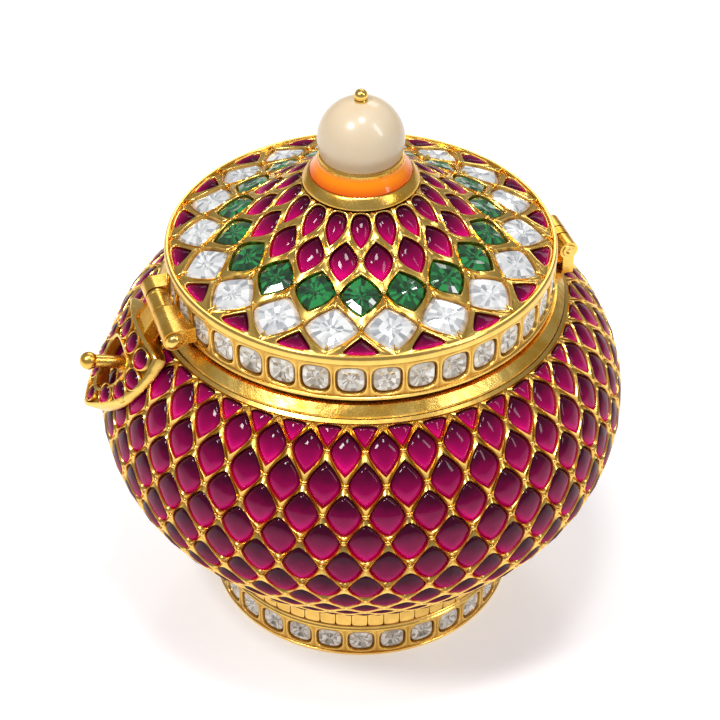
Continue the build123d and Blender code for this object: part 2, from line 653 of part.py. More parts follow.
def clasp_pieces():
    """Knuckles on the lid, their pin, the stone-set hasp and the peg it drops over."""
    y, z, k = -CLASP_Y, CLASP_Z, CLASP_KNUCKLE
    knuckles = []
    own_far, own_near = KNUCKLE_GAP / 2 - CLASP_SPLIT_FAR, CLASP_SPLIT_NEAR - KNUCKLE_GAP / 2
    own_mid = (own_near + own_far) / 2
    for x0, x1 in (
        (-CLASP_FAR, own_far - KNUCKLE_GAP), (own_near + KNUCKLE_GAP, CLASP_NEAR),
    ):
        bar = along_x(k, x0, x1, y, z)
        pad = Pos((x0 + x1) / 2, y + 1.1, z + 0.25) * Box(x1 - x0, 2.2, 1.6)
        lobe = bar + pad
        lobe = lobe - rim_disc(SEAT)
        knuckles.append(lobe - along_x(PIN_R + SEAT, -7, 7, y, z))
    pin = along_x(PIN_R, -CLASP_FAR, CLASP_NEAR, y, z)
    for side, end in ((-1, CLASP_FAR), (1, CLASP_NEAR)):
        base = Plane(origin=(side * (end + SEAT), y, z), x_dir=(0, 1, 0), z_dir=(side, 0, 0))
        pin += base * Pos(0, 0, 0.3) * Cone(0.85, 0.35, 0.6)

    frame = hasp_frame()
    outline = mirrored(HASP_OUTLINE)
    opening = mirrored(HASP_OPENING)
    plate = prism(frame, outline, -HASP_BACK - 1.0, k + 0.2)
    middle = -HASP_TOP - 5.0
    drum = frame * Pos(0, middle, k - HASP_BEND) * Rot(90, 0, 0) * Cylinder(HASP_BEND, 16)
    plate = plate & drum
    back = frame * Pos(0, middle, -HASP_BACK - 10) * Box(30, 30, 20)
    plate = plate - back - prism(frame, opening, -4, 4)
    link_width = own_near - own_far - 2 * CLASP_LINK
    link = frame * Pos(own_mid, -HASP_TOP / 2 - 0.3, 0) * Box(link_width, HASP_TOP + 0.6, 1.5)
    knuckle = along_x(k, own_far, own_near, y, z)
    plate = plate + (link + knuckle)
    plate = plate - along_x(PIN_R + RUNNING, -4, 4, y, z)
    belly = turned(
        *pot_edge(-MOVE, POT_TOP_Z, 15.0),
        Line((pot_point(angle_at(15.0, -MOVE), -MOVE)[0], 0, 15.0), (0, 0, 15.0)),
        Line((0, 0, 15.0), (0, 0, POT_TOP_Z)),
        Line((0, 0, POT_TOP_Z), (pot_point(angle_at(POT_TOP_Z, -MOVE), -MOVE)[0], 0, POT_TOP_Z)),
    )
    plate = plate - belly
    collar_high = COLLAR_HEIGHT + 2 * k
    collar_clear = Pos(0, 0, POT_TOP_Z + collar_high / 2 - 0.5) * Cylinder(COLLAR_R + MOVE, collar_high + 1)
    knuckle_keep = along_x(k + 0.01, own_far, own_near, y, z)
    plate = plate - (collar_clear - knuckle_keep) - rim_disc(MOVE)

    stones, tools = [], []
    places = [(s * u, v, w, h, s * turn) for u, v, w, h, turn in HASP_STONES for s in (-1, 1)]
    places.append(HASP_TIP_STONE)
    for u, v, w, h, turn in places:
        lift = sqrt(HASP_BEND ** 2 - u ** 2) - HASP_BEND + k
        lean = degrees(asin(u / HASP_BEND))
        spot = frame * Pos(u, -HASP_TOP - v, lift) * Rot(0, lean, 0)
        spot = Plane(spot) if not isinstance(spot, Plane) else spot
        shape = oval(w, h, 8, turn)
        tools.append(prism(spot, shape, -HASP_POCKET, 0.6))
        stones.append(
            cut_stone(spot, scaled(shape, STONE_GAP), -HASP_POCKET + SEAT, -0.35, -0.05, 0.22)
        )
    plate = plate - tools

    rise = radians(PEG_RISE)
    out = (0, -cos(rise), sin(rise))
    seat_angle = angle_at(POT_TOP_Z - PEG_DOWN)
    seat_r, seat_z = pot_point(seat_angle)
    seat_plane = Plane(
        origin=(0, -seat_r, seat_z), x_dir=(1, 0, 0),
        z_dir=(0, -cos(radians(seat_angle)), sin(radians(seat_angle))),
    )
    ball_at = Plane(
        origin=(0, -seat_r + PEG_REACH * out[1], seat_z + PEG_REACH * out[2]),
        x_dir=(1, 0, 0), z_dir=out,
    )
    shaft = ball_at * Pos(0, 0, -PEG_REACH / 2 - 0.5) * Cylinder(PEG_R, PEG_REACH + 1)
    peg = shaft + ball_at * Sphere(PEG_BALL)
    under = seat_plane * Pos(0, 0, -5 + SEAT) * Box(12, 12, 10)
    peg = peg - under
    seat = seat_plane * Pos(0, 0, SEAT + PEG_SEAT_T / 2) * Cylinder(PEG_SEAT_R, PEG_SEAT_T)
    seat = seat - ball_at * Cylinder(PEG_R + SEAT, 16)
    return {
        "clasp_knuckles": knuckles,
        "clasp_pin": pin,
        "hasp_plate": plate,
        "hasp_stones": stones,
        "catch_peg": peg,
        "peg_seat": seat,
    }


def main():
    """Build every piece and write it to its own file."""
    os.makedirs("parts", exist_ok=True)
    pieces = {}
    setting, stones = pot_pieces()
    pieces["pot_setting"] = setting
    for number, solids in stones.items():
        pieces[f"pot_stones_{number:02d}"] = solids
    pieces["pot_shell"] = pot_layer(
        SETTING_DEPTH + SEAT, SHELL_DEPTH, POT_TOP_Z, FOOT_TOP_Z, SHELL_FLOOR
    )
    pieces.update(foot_pieces())
    pieces.update(mouth_pieces())
    pieces.update(lid_pieces())
    pieces.update(finial_pieces())
    pieces.update(hinge_pieces())
    pieces.update(clasp_pieces())
    for name, shape in pieces.items():
        save(name, shape)


main()
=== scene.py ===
"""Sindoor box: a gem-set pot with a hinged, pearl-topped lid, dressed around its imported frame.

Pieces are shaped in millimetres and finished in metres. The origin is the centre of the foot's
underside, +Z is up, the clasp is on -Y and the lid's hinge on +Y.
"""

from __future__ import annotations

import json
import logging
import math
import random
from dataclasses import dataclass, field
from enum import Enum
from typing import Any, Callable, Mapping, Optional, Sequence, Union

import bmesh
import bpy
from mathutils import Matrix, Vector

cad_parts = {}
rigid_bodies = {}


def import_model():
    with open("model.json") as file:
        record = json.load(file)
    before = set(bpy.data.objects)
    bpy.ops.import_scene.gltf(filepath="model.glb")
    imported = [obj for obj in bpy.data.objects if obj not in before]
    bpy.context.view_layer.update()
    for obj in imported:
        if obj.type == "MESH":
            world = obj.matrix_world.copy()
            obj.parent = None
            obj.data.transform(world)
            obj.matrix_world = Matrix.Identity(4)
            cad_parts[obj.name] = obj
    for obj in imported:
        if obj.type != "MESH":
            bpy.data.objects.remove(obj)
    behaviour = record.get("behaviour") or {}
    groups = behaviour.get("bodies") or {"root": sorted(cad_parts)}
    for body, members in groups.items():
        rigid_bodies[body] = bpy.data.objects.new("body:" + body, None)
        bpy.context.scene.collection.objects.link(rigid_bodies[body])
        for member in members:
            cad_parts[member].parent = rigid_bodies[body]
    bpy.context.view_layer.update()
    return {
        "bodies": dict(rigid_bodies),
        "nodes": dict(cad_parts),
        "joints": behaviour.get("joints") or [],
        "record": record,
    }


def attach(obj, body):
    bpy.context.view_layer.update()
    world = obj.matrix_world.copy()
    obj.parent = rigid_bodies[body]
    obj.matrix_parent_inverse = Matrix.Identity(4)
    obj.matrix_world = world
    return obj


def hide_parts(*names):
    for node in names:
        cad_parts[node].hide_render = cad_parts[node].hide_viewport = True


LOG = logging.getLogger("sindoor_box")
MM = 0.001
PIN_RADIUS = 0.4
OPENING_MIDDLE = (0.0, 5.0)
CLEAR_OF_POT = 0.32
COLLAR_HEIGHT, COLLAR_CLEAR_RADIUS = 33.9, 19.62
Pair = tuple[float, float]
Triple = tuple[float, float, float]
Colour = Triple
Seat = tuple[float, float, float, float, float]
Mark = tuple[int, int, int]


def _operator(operation: str, swapped: bool = False) -> Callable[["Value", Any], "Value"]:
    """Makes an operator of Value, or its reflected form where `swapped`."""

    def method(self: "Value", other: Any) -> "Value":
        """Adds a Math node and returns its output."""
        first, second = (other, self) if swapped else (self, other)
        return self.paint.node("Math", {"operation": operation}, {0: first, 1: second})

    return method


class Value:
    """A shader socket that adds Math nodes when it is used in an expression."""

    __add__, __radd__ = _operator("ADD"), _operator("ADD", True)
    __sub__, __rsub__ = _operator("SUBTRACT"), _operator("SUBTRACT", True)
    __mul__, __rmul__ = _operator("MULTIPLY"), _operator("MULTIPLY", True)
    __pow__ = _operator("POWER")

    def __init__(self, paint: "Paint", socket: bpy.types.NodeSocket) -> None:
        """Wraps one output socket of a paint's tree."""
        self.paint = paint
        self.socket = socket


class Paint:
    """The node tree of one material."""

    def __init__(self, name: str) -> None:
        """Starts an empty material."""
        self.material = bpy.data.materials.new(name)
        self.material.use_nodes = True
        self.tree = self.material.node_tree
        self.tree.nodes.clear()

    def node(
        self, kind: str, settings: Optional[Mapping[str, Any]] = None,
        sockets: Optional[Mapping[Union[str, int], Any]] = None, output: Union[str, int] = 0,
    ) -> Value:
        """Adds a node.

        Args:
            kind: The node's type after "ShaderNode".
            settings: Its properties, set first.
            sockets: Values or links of its inputs.
            output: The output that is returned.

        Returns:
            The chosen output.
        """
        made = self.tree.nodes.new("ShaderNode" + kind)
        for name, value in (settings or {}).items():
            setattr(made, name, value)
        for name, value in (sockets or {}).items():
            if isinstance(value, Value):
                self.tree.links.new(value.socket, made.inputs[name])
            else:
                made.inputs[name].default_value = value
        return Value(self, made.outputs[output])

    def attribute(self, name: str, output: str = "Fac") -> Value:
        """One of the piece's own attributes."""
        return self.node("Attribute", {"attribute_name": name}, output=output)

    def parts(self, vector: Value) -> tuple[Value, Value, Value]:
        """The three numbers of a vector."""
        split = self.node("SeparateXYZ", sockets={0: vector})
        first, second, third = split.socket.node.outputs
        return Value(self, first), Value(self, second), Value(self, third)

    def place(self) -> Value:
        """Object coordinates in millimetres."""
        sockets = {"Vector": self.node("TexCoord", output="Object"), "Scale": (1 / MM,) * 3}
        return self.node("Mapping", {"vector_type": "POINT"}, sockets)

    def noise(self, scale: float, detail: float = 2.0, vector: Optional[Value] = None) -> Value:
        """Soft noise, by waves per millimetre."""
        sockets = {"Vector": vector or self.place(), "Scale": scale, "Detail": detail}
        return self.node("TexNoise", {"noise_dimensions": "3D"}, sockets, "Fac")

    def clamp(self, value: Value, low: float = 0.0, high: float = 1.0) -> Value:
        """A value kept between two bounds."""
        return self.node("Clamp", sockets={"Value": value, "Min": low, "Max": high})

    def smooth(self, value: Value, low: float, high: float) -> Value:
        """A smooth step from 0 at `low` to 1 at `high`."""
        settings = {"interpolation_type": "SMOOTHSTEP"}
        return self.node("MapRange", settings, {"Value": value, "From Min": low, "From Max": high})

    def blend(self, share: Union[Value, float], first: Any, second: Any) -> Value:
        """A colour between two colours."""
        ends = [(*c, 1.0) if isinstance(c, tuple) else c for c in (first, second)]
        settings = {"data_type": "RGBA", "blend_type": "MIX"}
        return self.node("Mix", settings, {0: share, 6: ends[0], 7: ends[1]}, 2)

    def bump(self, height: Value, depth: float) -> Value:
        """A normal from a height, with its depth in millimetres."""
        sockets = {"Height": height, "Strength": 1.0, "Distance": depth * MM}
        return self.node("Bump", sockets=sockets)

    def surface(self, sockets: Mapping[str, Any]) -> bpy.types.Material:
        """Ends the tree with one Principled shader and returns the material."""
        body = self.node("BsdfPrincipled", sockets=sockets)
        self.shown(body)
        return self.material

    def shown(self, shader: Value) -> None:
        """Links a shader to the material's output."""
        out = self.tree.nodes.new("ShaderNodeOutputMaterial")
        self.tree.links.new(shader.socket, out.inputs["Surface"])


@dataclass(frozen=True)
class LatticeGold:
    """Polished gold of the stone settings, with painted shade: darker down in its grooves and
    walls, where shade falls.
    """

    crest: Colour = (1.0, 0.66, 0.17)
    # The second colour is painted shade, for the gold down in the grooves and walls.
    groove_shade: Colour = (0.40, 0.165, 0.008)

    def material(self) -> bpy.types.Material:
        """Makes the material."""
        paint = Paint("lattice_gold")
        # The attribute read here is how lit each ring is painted; its low values are painted
        # shade, broken up by noise at random.
        painted_light = paint.attribute("painted_light")
        worn = paint.noise(0.8, 3.0)
        share = paint.clamp(painted_light + (worn - 0.5) * 0.5)
        return paint.surface({
            "Base Color": paint.blend(share, self.groove_shade, self.crest),
            "Metallic": 1.0,
            "Roughness": 0.38 - share * 0.16,
            "Normal": paint.bump(paint.noise(0.9, 1.0), 0.03),
        })


@dataclass(frozen=True)
class BeatenGold:
    """Gold sheet with soft hammer marks and fine scratches."""

    name: str
    colour: Colour = (1.0, 0.66, 0.17)
    shade: Colour = (0.82, 0.43, 0.05)
    roughness: float = 0.26
    marks: float = 0.55
    depth: float = 0.10

    def material(self) -> bpy.types.Material:
        """Makes the material."""
        paint = Paint(self.name)
        spot = paint.place()
        hammered = paint.noise(self.marks, 1.5, spot)
        fine = paint.noise(6.0, 3.0, spot)
        tone = paint.smooth(paint.noise(0.35, 4.0, spot), 0.3, 0.68)
        return paint.surface({
            "Base Color": paint.blend(tone, self.shade, self.colour),
            "Metallic": 1.0,
            "Roughness": paint.clamp(self.roughness - 0.08 + fine * 0.16, 0.08, 0.9),
            "Normal": paint.bump(hammered + fine * 0.12, self.depth),
        })


@dataclass(frozen=True)
class Cabochon:
    """A domed stone over a thin metal backing, with painted light: painted shade darkens it above,
    and a painted glow lights it from inside along its lower edge.
    """

    name: str
    # deep is painted shade for the upper part, body the stone's own colour, and lit the painted
    # glow along the lower edge.
    deep: Colour
    body: Colour
    lit: Colour
    # Strength of that painted glow, though the stone is no lamp.
    glow: float = 0.22

    def material(self) -> bpy.types.Material:
        """Makes the material."""
        paint = Paint(self.name)
        across, up, tone = paint.parts(paint.attribute("gem", "Vector"))
        radius = (across * across + up * up) ** 0.5
        cloud = paint.noise(0.9, 2.0)
        # Painted glow: lighter along the lower edge and rim, as if lit from inside.
        low = paint.smooth(0.0 - up + (cloud - 0.5) * 0.5, -0.15, 0.75)
        edge = paint.smooth(radius, 0.25, 0.92)
        lit = paint.clamp(low * (0.25 + 0.75 * edge) * (0.55 + 0.6 * tone))
        # Painted shade: darker over the upper part.
        dark = paint.smooth(up + (cloud - 0.5) * 0.6, -0.25, 0.7)
        base = paint.blend(dark, self.body, self.deep)
        colour = paint.blend(lit, base, self.lit)
        _, _, level = paint.parts(paint.node("NewGeometry", output="Normal"))
        return paint.surface({
            "Base Color": colour,
            "Roughness": 0.35,
            "Specular IOR Level": 0.0,
            "Coat Weight": 0.1 + paint.smooth(level, -0.55, 0.25) * 0.4,
            "Coat Roughness": 0.03,
            "Coat IOR": 1.45,
            # The painted colour also glows, though the stone is no lamp.
            "Emission Color": colour,
            "Emission Strength": self.glow,
        })


@dataclass(frozen=True)
class CutStone:
    """A faceted stone over a thin metal backing, each facet with its own brightness as painted
    glints and painted shade, and a painted edge colour round its rim.
    """

    name: str
    # dark, mid and bright are the painted shade and painted glints of the facets; edge is the
    # painted rim colour, a painted reflection of the gold on pale stones and painted shade on the
    # emerald.
    dark: Colour
    mid: Colour
    bright: Colour
    edge: Colour
    metallic: float = 0.0
    # Strength of a painted glow, though the stone is no lamp.
    glow: float = 0.1

    def material(self) -> bpy.types.Material:
        """Makes the material."""
        paint = Paint(self.name)
        across, up, _ = paint.parts(paint.attribute("gem", "Vector"))
        radius = (across * across + up * up) ** 0.5
        # Each facet's random value picks its painted glint or its painted shade.
        facet = paint.attribute("facet")
        cloud = paint.noise(1.3, 2.0)
        tone = paint.clamp(facet + (cloud - 0.5) * 0.5)
        low = paint.blend(paint.smooth(tone, 0.0, 0.5), self.dark, self.mid)
        # Facet colour from painted shade up to painted glints.
        painted_facet_light = paint.blend(paint.smooth(tone, 0.45, 1.0), low, self.bright)
        # Towards the rim the painted edge colour takes over.
        colour = paint.blend(paint.smooth(radius, 0.72, 1.02) * 0.7, painted_facet_light, self.edge)
        return paint.surface({
            "Base Color": colour,
            "Metallic": self.metallic,
            "Roughness": 0.10,
            "IOR": 1.6,
            "Coat Weight": 1.0,
            "Coat Roughness": 0.02,
            "Coat IOR": 1.6,
            # The painted colour also glows, though the stone is no lamp.
            "Emission Color": colour,
            "Emission Strength": self.glow,
        })


@dataclass(frozen=True)
class PearlCoat:
    """Cream nacre with a soft sheen, partly painted: paler where it faces the camera, creamier
    where it turns away, with cloudy tone at random.
    """

    cream: Colour = (0.82, 0.62, 0.38)
    pale: Colour = (0.80, 0.70, 0.54)

    def material(self) -> bpy.types.Material:
        """Makes the material."""
        paint = Paint("pearl_nacre")
        cloud = paint.noise(0.3, 3.0)
        # Painted sheen: paler where the surface faces the camera, creamier towards its outline.
        facing = paint.node("LayerWeight", sockets={"Blend": 0.35}, output="Facing")
        return paint.surface({
            "Base Color": paint.blend(paint.clamp(cloud + facing * 0.5), self.pale, self.cream),
            "Roughness": 0.3,
            "IOR": 1.5,
            "Coat Weight": 0.6,
            "Coat Roughness": 0.12,
            "Subsurface Weight": 0.15,
            "Subsurface Radius": (1.2, 0.8, 0.5),
            "Subsurface Scale": 0.8 * MM,
            "Normal": paint.bump(paint.noise(0.7, 2.0), 0.02),
        })


@dataclass(frozen=True)
class Enamel:
    """Orange glassy enamel, deeper towards its lower band."""

    clear: Colour = (0.90, 0.25, 0.002)
    deep: Colour = (0.66, 0.085, 0.0)

    def material(self) -> bpy.types.Material:
        """Makes the material."""
        paint = Paint("orange_enamel")
        _, _, height = paint.parts(paint.place())
        rise = paint.smooth(height, 47.8, 48.9)
        colour = paint.blend(rise, self.deep, self.clear)
        return paint.surface({
            "Base Color": colour,
            "Roughness": 0.2,
            "Specular IOR Level": 0.2,
            "Coat Weight": 0.5,
            "Coat Roughness": 0.04,
            # The enamel's colour also glows, a painted glow, though it is no lamp.
            "Emission Color": colour,
            "Emission Strength": 0.22,
            "Normal": paint.bump(paint.noise(1.2, 2.0), 0.03),
        })


class Turned:
    """A surface of turning, read by degrees round it, millimetres up its line and lift."""

    def line(self, along: float) -> Triple:
        """Radius, height and facing angle in radians at a place on the line."""
        raise NotImplementedError

    def place(self, turn: float, along: float, lift: float = 0.0) -> Vector:
        """A point on or over the surface."""
        radius, height, facing = self.line(along)
        radius += lift * math.cos(facing)
        turn = math.radians(turn)
        return Vector((
            radius * math.cos(turn), radius * math.sin(turn), height + lift * math.sin(facing)
        ))

    def degrees(self, across: float, along: float) -> float:
        """Degrees round the surface that a length across takes at a place on the line."""
        return math.degrees(across / self.line(along)[0])


@dataclass(frozen=True)
class PotLine(Turned):
    """Outline of the pot's ridges: three arcs, with the belly at 0 and up the wall positive."""

    belly_radius: float = 25.44
    belly_height: float = 22.9
    upper_arc: float = 13.89
    lower_arc: float = 15.0
    lower_turn: float = math.radians(35.0)
    taper_arc: float = 45.6

    def line(self, along: float) -> Triple:
        """Radius, height and facing angle at a place on the outline."""
        turn_at = -self.lower_arc * self.lower_turn
        if along >= 0:
            size, facing = self.upper_arc, along / self.upper_arc
        elif along >= turn_at:
            size, facing = self.lower_arc, along / self.lower_arc
        else:
            facing = -self.lower_turn + (along - turn_at) / self.taper_arc
            more = self.taper_arc - self.lower_arc
            radius = self.belly_radius - self.lower_arc - more * math.cos(self.lower_turn)
            height = self.belly_height + more * math.sin(self.lower_turn)
            return (
                radius + self.taper_arc * math.cos(facing),
                height + self.taper_arc * math.sin(facing), facing,
            )
        radius = self.belly_radius - size + size * math.cos(facing)
        return radius, self.belly_height + size * math.sin(facing), facing

    def at(self, facing: float) -> float:
        """Place on the outline that faces so many degrees above level."""
        angle = math.radians(facing)
        if angle >= 0:
            return angle * self.upper_arc
        if angle >= -self.lower_turn:
            return angle * self.lower_arc
        return -self.lower_turn * self.lower_arc + (angle + self.lower_turn) * self.taper_arc


def smoothed(points: Sequence[Pair], steps: int, closed: bool = False) -> list[Pair]:
    """A smooth line through points.

    Args:
        points: The points that the line passes.
        steps: Pieces between two of them.
        closed: Whether the line comes round to its start.

    Returns:
        Points close together along the line.
    """
    count = len(points)
    line = []
    for i in range(count if closed else count - 1):
        around = []
        for j in (i - 1, i, i + 1, i + 2):
            around.append(points[j % count] if closed else points[max(0, min(count - 1, j))])
        for k in range(steps):
            t = k / steps
            weights = (
                -0.5 * t + t * t - 0.5 * t ** 3, 1 - 2.5 * t * t + 1.5 * t ** 3,
                0.5 * t + 2 * t * t - 1.5 * t ** 3, -0.5 * t * t + 0.5 * t ** 3,
            )
            line.append(tuple(sum(w * p[c] for w, p in zip(weights, around)) for c in (0, 1)))
    if not closed:
        line.append(tuple(points[-1]))
    return line


class LidLine(Turned):
    """Outline of the lid's sloping top, with 0 at the rim and up the slope positive."""

    KNOTS = (
        (17.95, 40.24), (16.5, 40.6), (15.1, 41.06), (13.6, 41.64), (11.95, 42.4),
        (10.6, 43.08), (9.15, 44.04), (7.9, 44.98), (6.6, 45.98), (5.36, 46.86),
    )

    def __init__(self) -> None:
        """Measures the outline."""
        self.points = smoothed(self.KNOTS, 6)
        self.lengths = [0.0]
        for first, second in zip(self.points, self.points[1:]):
            self.lengths.append(self.lengths[-1] + math.dist(first, second))

    def line(self, along: float) -> Triple:
        """Radius, height and facing angle at a place on the outline."""
        i = 0
        while i < len(self.lengths) - 2 and self.lengths[i + 1] < along:
            i += 1
        share = (along - self.lengths[i]) / (self.lengths[i + 1] - self.lengths[i])
        (r0, z0), (r1, z1) = self.points[i], self.points[i + 1]
        facing = math.atan2(r0 - r1, z1 - z0)
        return r0 + (r1 - r0) * share, z0 + (z1 - z0) * share, facing

    def at(self, radius: float) -> float:
        """Place on the outline at a radius."""
        for i, (first, second) in enumerate(zip(self.points, self.points[1:])):
            if second[0] <= radius:
                break
        share = (first[0] - radius) / (first[0] - second[0])
        return self.lengths[i] + share * (self.lengths[i + 1] - self.lengths[i])


@dataclass(frozen=True)
class BandLine(Turned):
    """An upright band, read by its height."""

    radius: float

    def line(self, along: float) -> Triple:
        """Radius, height and facing angle at a height."""
        return self.radius, along, 0.0


class Cut(Enum):
    """How one side of a stone ends."""

    POINTED = "pointed"
    CUSHION = "cushion"


@dataclass(frozen=True)
class Half:
    """One side of a cell, up or down from its widest line."""

    reach: float
    stone: float
    cut: Cut = Cut.POINTED
    fullness: float = 1.3
    square: bool = False

    def boundary(self, share: float) -> Pair:
        """Shares across and along of the cell's edge, from its side to its end."""
        if self.square:
            return (1.0, 2 * share) if share <= 0.5 else (2 * (1 - share), 1.0)
        return 1 - share, share

    def outline(self, share: float) -> Pair:
        """Shares across and along of the stone's edge, from its side to its end."""
        if self.cut is Cut.CUSHION:
            angle, power = share * math.pi / 2, 2 / self.fullness
            return max(math.cos(angle), 0.0) ** power, math.sin(angle) ** power
        return 1 - share ** self.fullness, share


@dataclass(frozen=True)
class Cell:
    """One window of a setting and the stone in it."""

    surface: Turned
    middle: float
    spread: float
    half_width: float
    up: Half
    down: Half
    shift: float = 0.0
    steps: int = 4

    def corners(self) -> list[tuple[Pair, Pair, Pair]]:
        """Matching places of the cell's edge and of the stone's edge, counter-clockwise.

        Returns:
            For each place: the edge and the stone in degrees and millimetres, and the stone's
            own shares across and up.
        """
        found = []
        for side, sign, half, outward in (
            (1, 1, self.up, True), (-1, 1, self.up, False),
            (-1, -1, self.down, True), (1, -1, self.down, False),
        ):
            for step in range(self.steps):
                share = step / self.steps if outward else 1 - step / self.steps
                across, along = half.boundary(share)
                edge = (side * across * self.spread, self.middle + sign * along * half.reach)
                across, along = half.outline(share)
                height = self.middle + self.shift + sign * along * half.stone
                turn = self.surface.degrees(side * across * self.half_width, height)
                found.append((edge, (turn, height), (side * across, sign * along)))
        return found

    def centre(self) -> Pair:
        """The stone's middle, in degrees and millimetres."""
        return 0.0, self.middle + self.shift


class Work:
    """A mesh in the making, in millimetres."""

    def __init__(self) -> None:
        """Starts an empty mesh with its attributes."""
        self.bm = bmesh.new()
        self.gem = self.bm.verts.layers.float_vector.new("gem")
        # How lit the gold is painted at each vertex; low values are painted shade in grooves and
        # down walls.
        self.painted_light = self.bm.verts.layers.float.new("painted_light")
        # Brightness of each facet of a cut stone, for its painted glints and painted shade.
        self.facet = self.bm.faces.layers.float.new("facet")

    def mark(self) -> Mark:
        """How much the mesh holds now."""
        return len(self.bm.verts), len(self.bm.edges), len(self.bm.faces)

    def since(self, mark: Mark) -> tuple[list, list, list]:
        """Vertices, edges and faces added after a mark."""
        for group in (self.bm.verts, self.bm.edges, self.bm.faces):
            group.ensure_lookup_table()
        return self.bm.verts[mark[0]:], self.bm.edges[mark[1]:], self.bm.faces[mark[2]:]

    def tube(self, rings: Sequence[Sequence[Vector]], closed: bool = False) -> list[list]:
        """A circle of points extruded through further rings.

        Args:
            rings: The places of each ring, all with the same count.
            closed: Whether the last ring is joined to the first.

        Returns:
            The vertices of each ring, in order.
        """
        made = bmesh.ops.create_circle(
            self.bm, cap_ends=False, segments=len(rings[0]), radius=1.0
        )
        level = sorted(made["verts"], key=lambda v: math.atan2(v.co.y, v.co.x) % math.tau)
        first = edges = list({edge for vert in level for edge in vert.link_edges})
        levels = [level]
        for vert, spot in zip(level, rings[0]):
            vert.co = spot
        for ring in rings[1:]:
            out = bmesh.ops.extrude_edge_only(self.bm, edges=edges)["geom"]
            fresh = {item for item in out if isinstance(item, bmesh.types.BMVert)}
            level = []
            for vert in levels[-1]:
                ends = (edge.other_vert(vert) for edge in vert.link_edges)
                level.append(next(end for end in ends if end in fresh))
            edges = [
                item for item in out
                if isinstance(item, bmesh.types.BMEdge) and all(v in fresh for v in item.verts)
            ]
            for vert, spot in zip(level, ring):
                vert.co = spot
            levels.append(level)
        if closed:
            bmesh.ops.bridge_loops(self.bm, edges=[*edges, *first])
        return levels

    def shade(self, levels: Sequence[list], shades: Sequence[float]) -> None:
        """Sets how bright the gold is painted on each ring; low values are painted shade."""
        for level, shade in zip(levels, shades):
            for vert in level:
                vert[self.painted_light] = shade

    def cap(self, level: list, top: Vector, tone: float) -> None:
        """Draws the last ring of a stone together at its top."""
        for vert in level:
            vert[self.gem] = Vector((0.0, 0.0, tone))
        bmesh.ops.pointmerge(self.bm, verts=level, merge_co=top)

    def outward(self, mark: Mark, way: Vector) -> None:
        """Turns faces added after a mark so that most of their area points along `way`."""
        faces = self.since(mark)[2]
        total = 0.0
        for face in faces:
            face.normal_update()
            total += face.calc_area() * face.normal.dot(way)
        if total < 0:
            bmesh.ops.reverse_faces(self.bm, faces=faces)

    def round(self, mark: Mark, count: int, phase: float) -> None:
        """Turns what came after a mark to its phase, and copies it round the Z axis."""
        verts, edges, faces = self.since(mark)
        turn = Matrix.Rotation(math.radians(phase), 3, "Z")
        bmesh.ops.rotate(self.bm, cent=(0, 0, 0), matrix=turn, verts=verts)
        bmesh.ops.spin(
            self.bm, geom=[*verts, *edges, *faces], cent=(0, 0, 0), axis=(0, 0, 1),
            dvec=(0, 0, 0), angle=math.tau * (count - 1) / count, steps=count - 1,
            use_merge=False, use_normal_flip=False, use_duplicate=True,
        )

    def lathe(
        self, points: Sequence[Pair], steps: int = 144, centre: Vector = Vector((0, 0, 0)),
        axis: str = "Z", painted_light: float = 0.8,
    ) -> None:
        """A closed outline turned about an axis.

        Args:
            points: Pairs of radius and place along the axis.
            steps: Pieces of the full turn.
            centre: A point on the axis.
            axis: "X" or "Z".
            painted_light: How bright the gold is painted there; low values are painted shade.
        """
        mark = self.mark()
        along = Vector((1, 0, 0)) if axis == "X" else Vector((0, 0, 1))
        out = Vector((0, 0, 1)) if axis == "X" else Vector((1, 0, 0))
        verts = [self.bm.verts.new(centre + out * r + along * h) for r, h in points]
        edges = [self.bm.edges.new(pair) for pair in zip(verts, verts[1:] + verts[:1])]
        bmesh.ops.spin(
            self.bm, geom=[*verts, *edges], cent=centre, axis=along, dvec=(0, 0, 0),
            angle=math.tau, steps=steps, use_merge=True, use_duplicate=False,
        )
        bmesh.ops.remove_doubles(self.bm, verts=self.since(mark)[0], dist=0.0005)
        bmesh.ops.recalc_face_normals(self.bm, faces=self.since(mark)[2])
        for vert in self.since(mark)[0]:
            vert[self.painted_light] = painted_light

    def bead(self, spot: Vector, size: Vector, turn: Matrix, painted_light: float = 1.0) -> None:
        """A small rounded grain of gold."""
        made = bmesh.ops.create_uvsphere(self.bm, u_segments=8, v_segments=5, radius=1.0)
        for vert in made["verts"]:
            vert.co = spot + turn @ Vector([a * b for a, b in zip(vert.co, size)])
            vert[self.painted_light] = painted_light

    def bezel(self, cell: Cell, profile: Sequence[Triple]) -> None:
        """The gold round one stone.

        Args:
            cell: The window.
            profile: Distance out from the stone, lift and painted light of each ring (low is
                painted shade); a distance of -1 is the cell's own edge.
        """
        mark = self.mark()
        corners = cell.corners()
        rings = []
        for distance, lift, _ in profile:
            ring = []
            for edge, stone, _ in corners:
                radius = cell.surface.line(stone[1])[0]
                across = math.radians(edge[0] - stone[0]) * radius
                length = math.hypot(across, edge[1] - stone[1])
                near = min(distance, 0.62 * length) / max(length, 1e-6)
                share = 1.0 if distance < 0 else near
                turn = stone[0] + (edge[0] - stone[0]) * share
                along = stone[1] + (edge[1] - stone[1]) * share
                ring.append(cell.surface.place(turn, along, lift))
            rings.append(ring)
        self.shade(self.tube(rings), [painted_light for _, _, painted_light in profile])
        low, high = (cell.surface.place(*cell.centre(), lift) for lift in (0.0, 1.0))
        self.outward(mark, high - low)

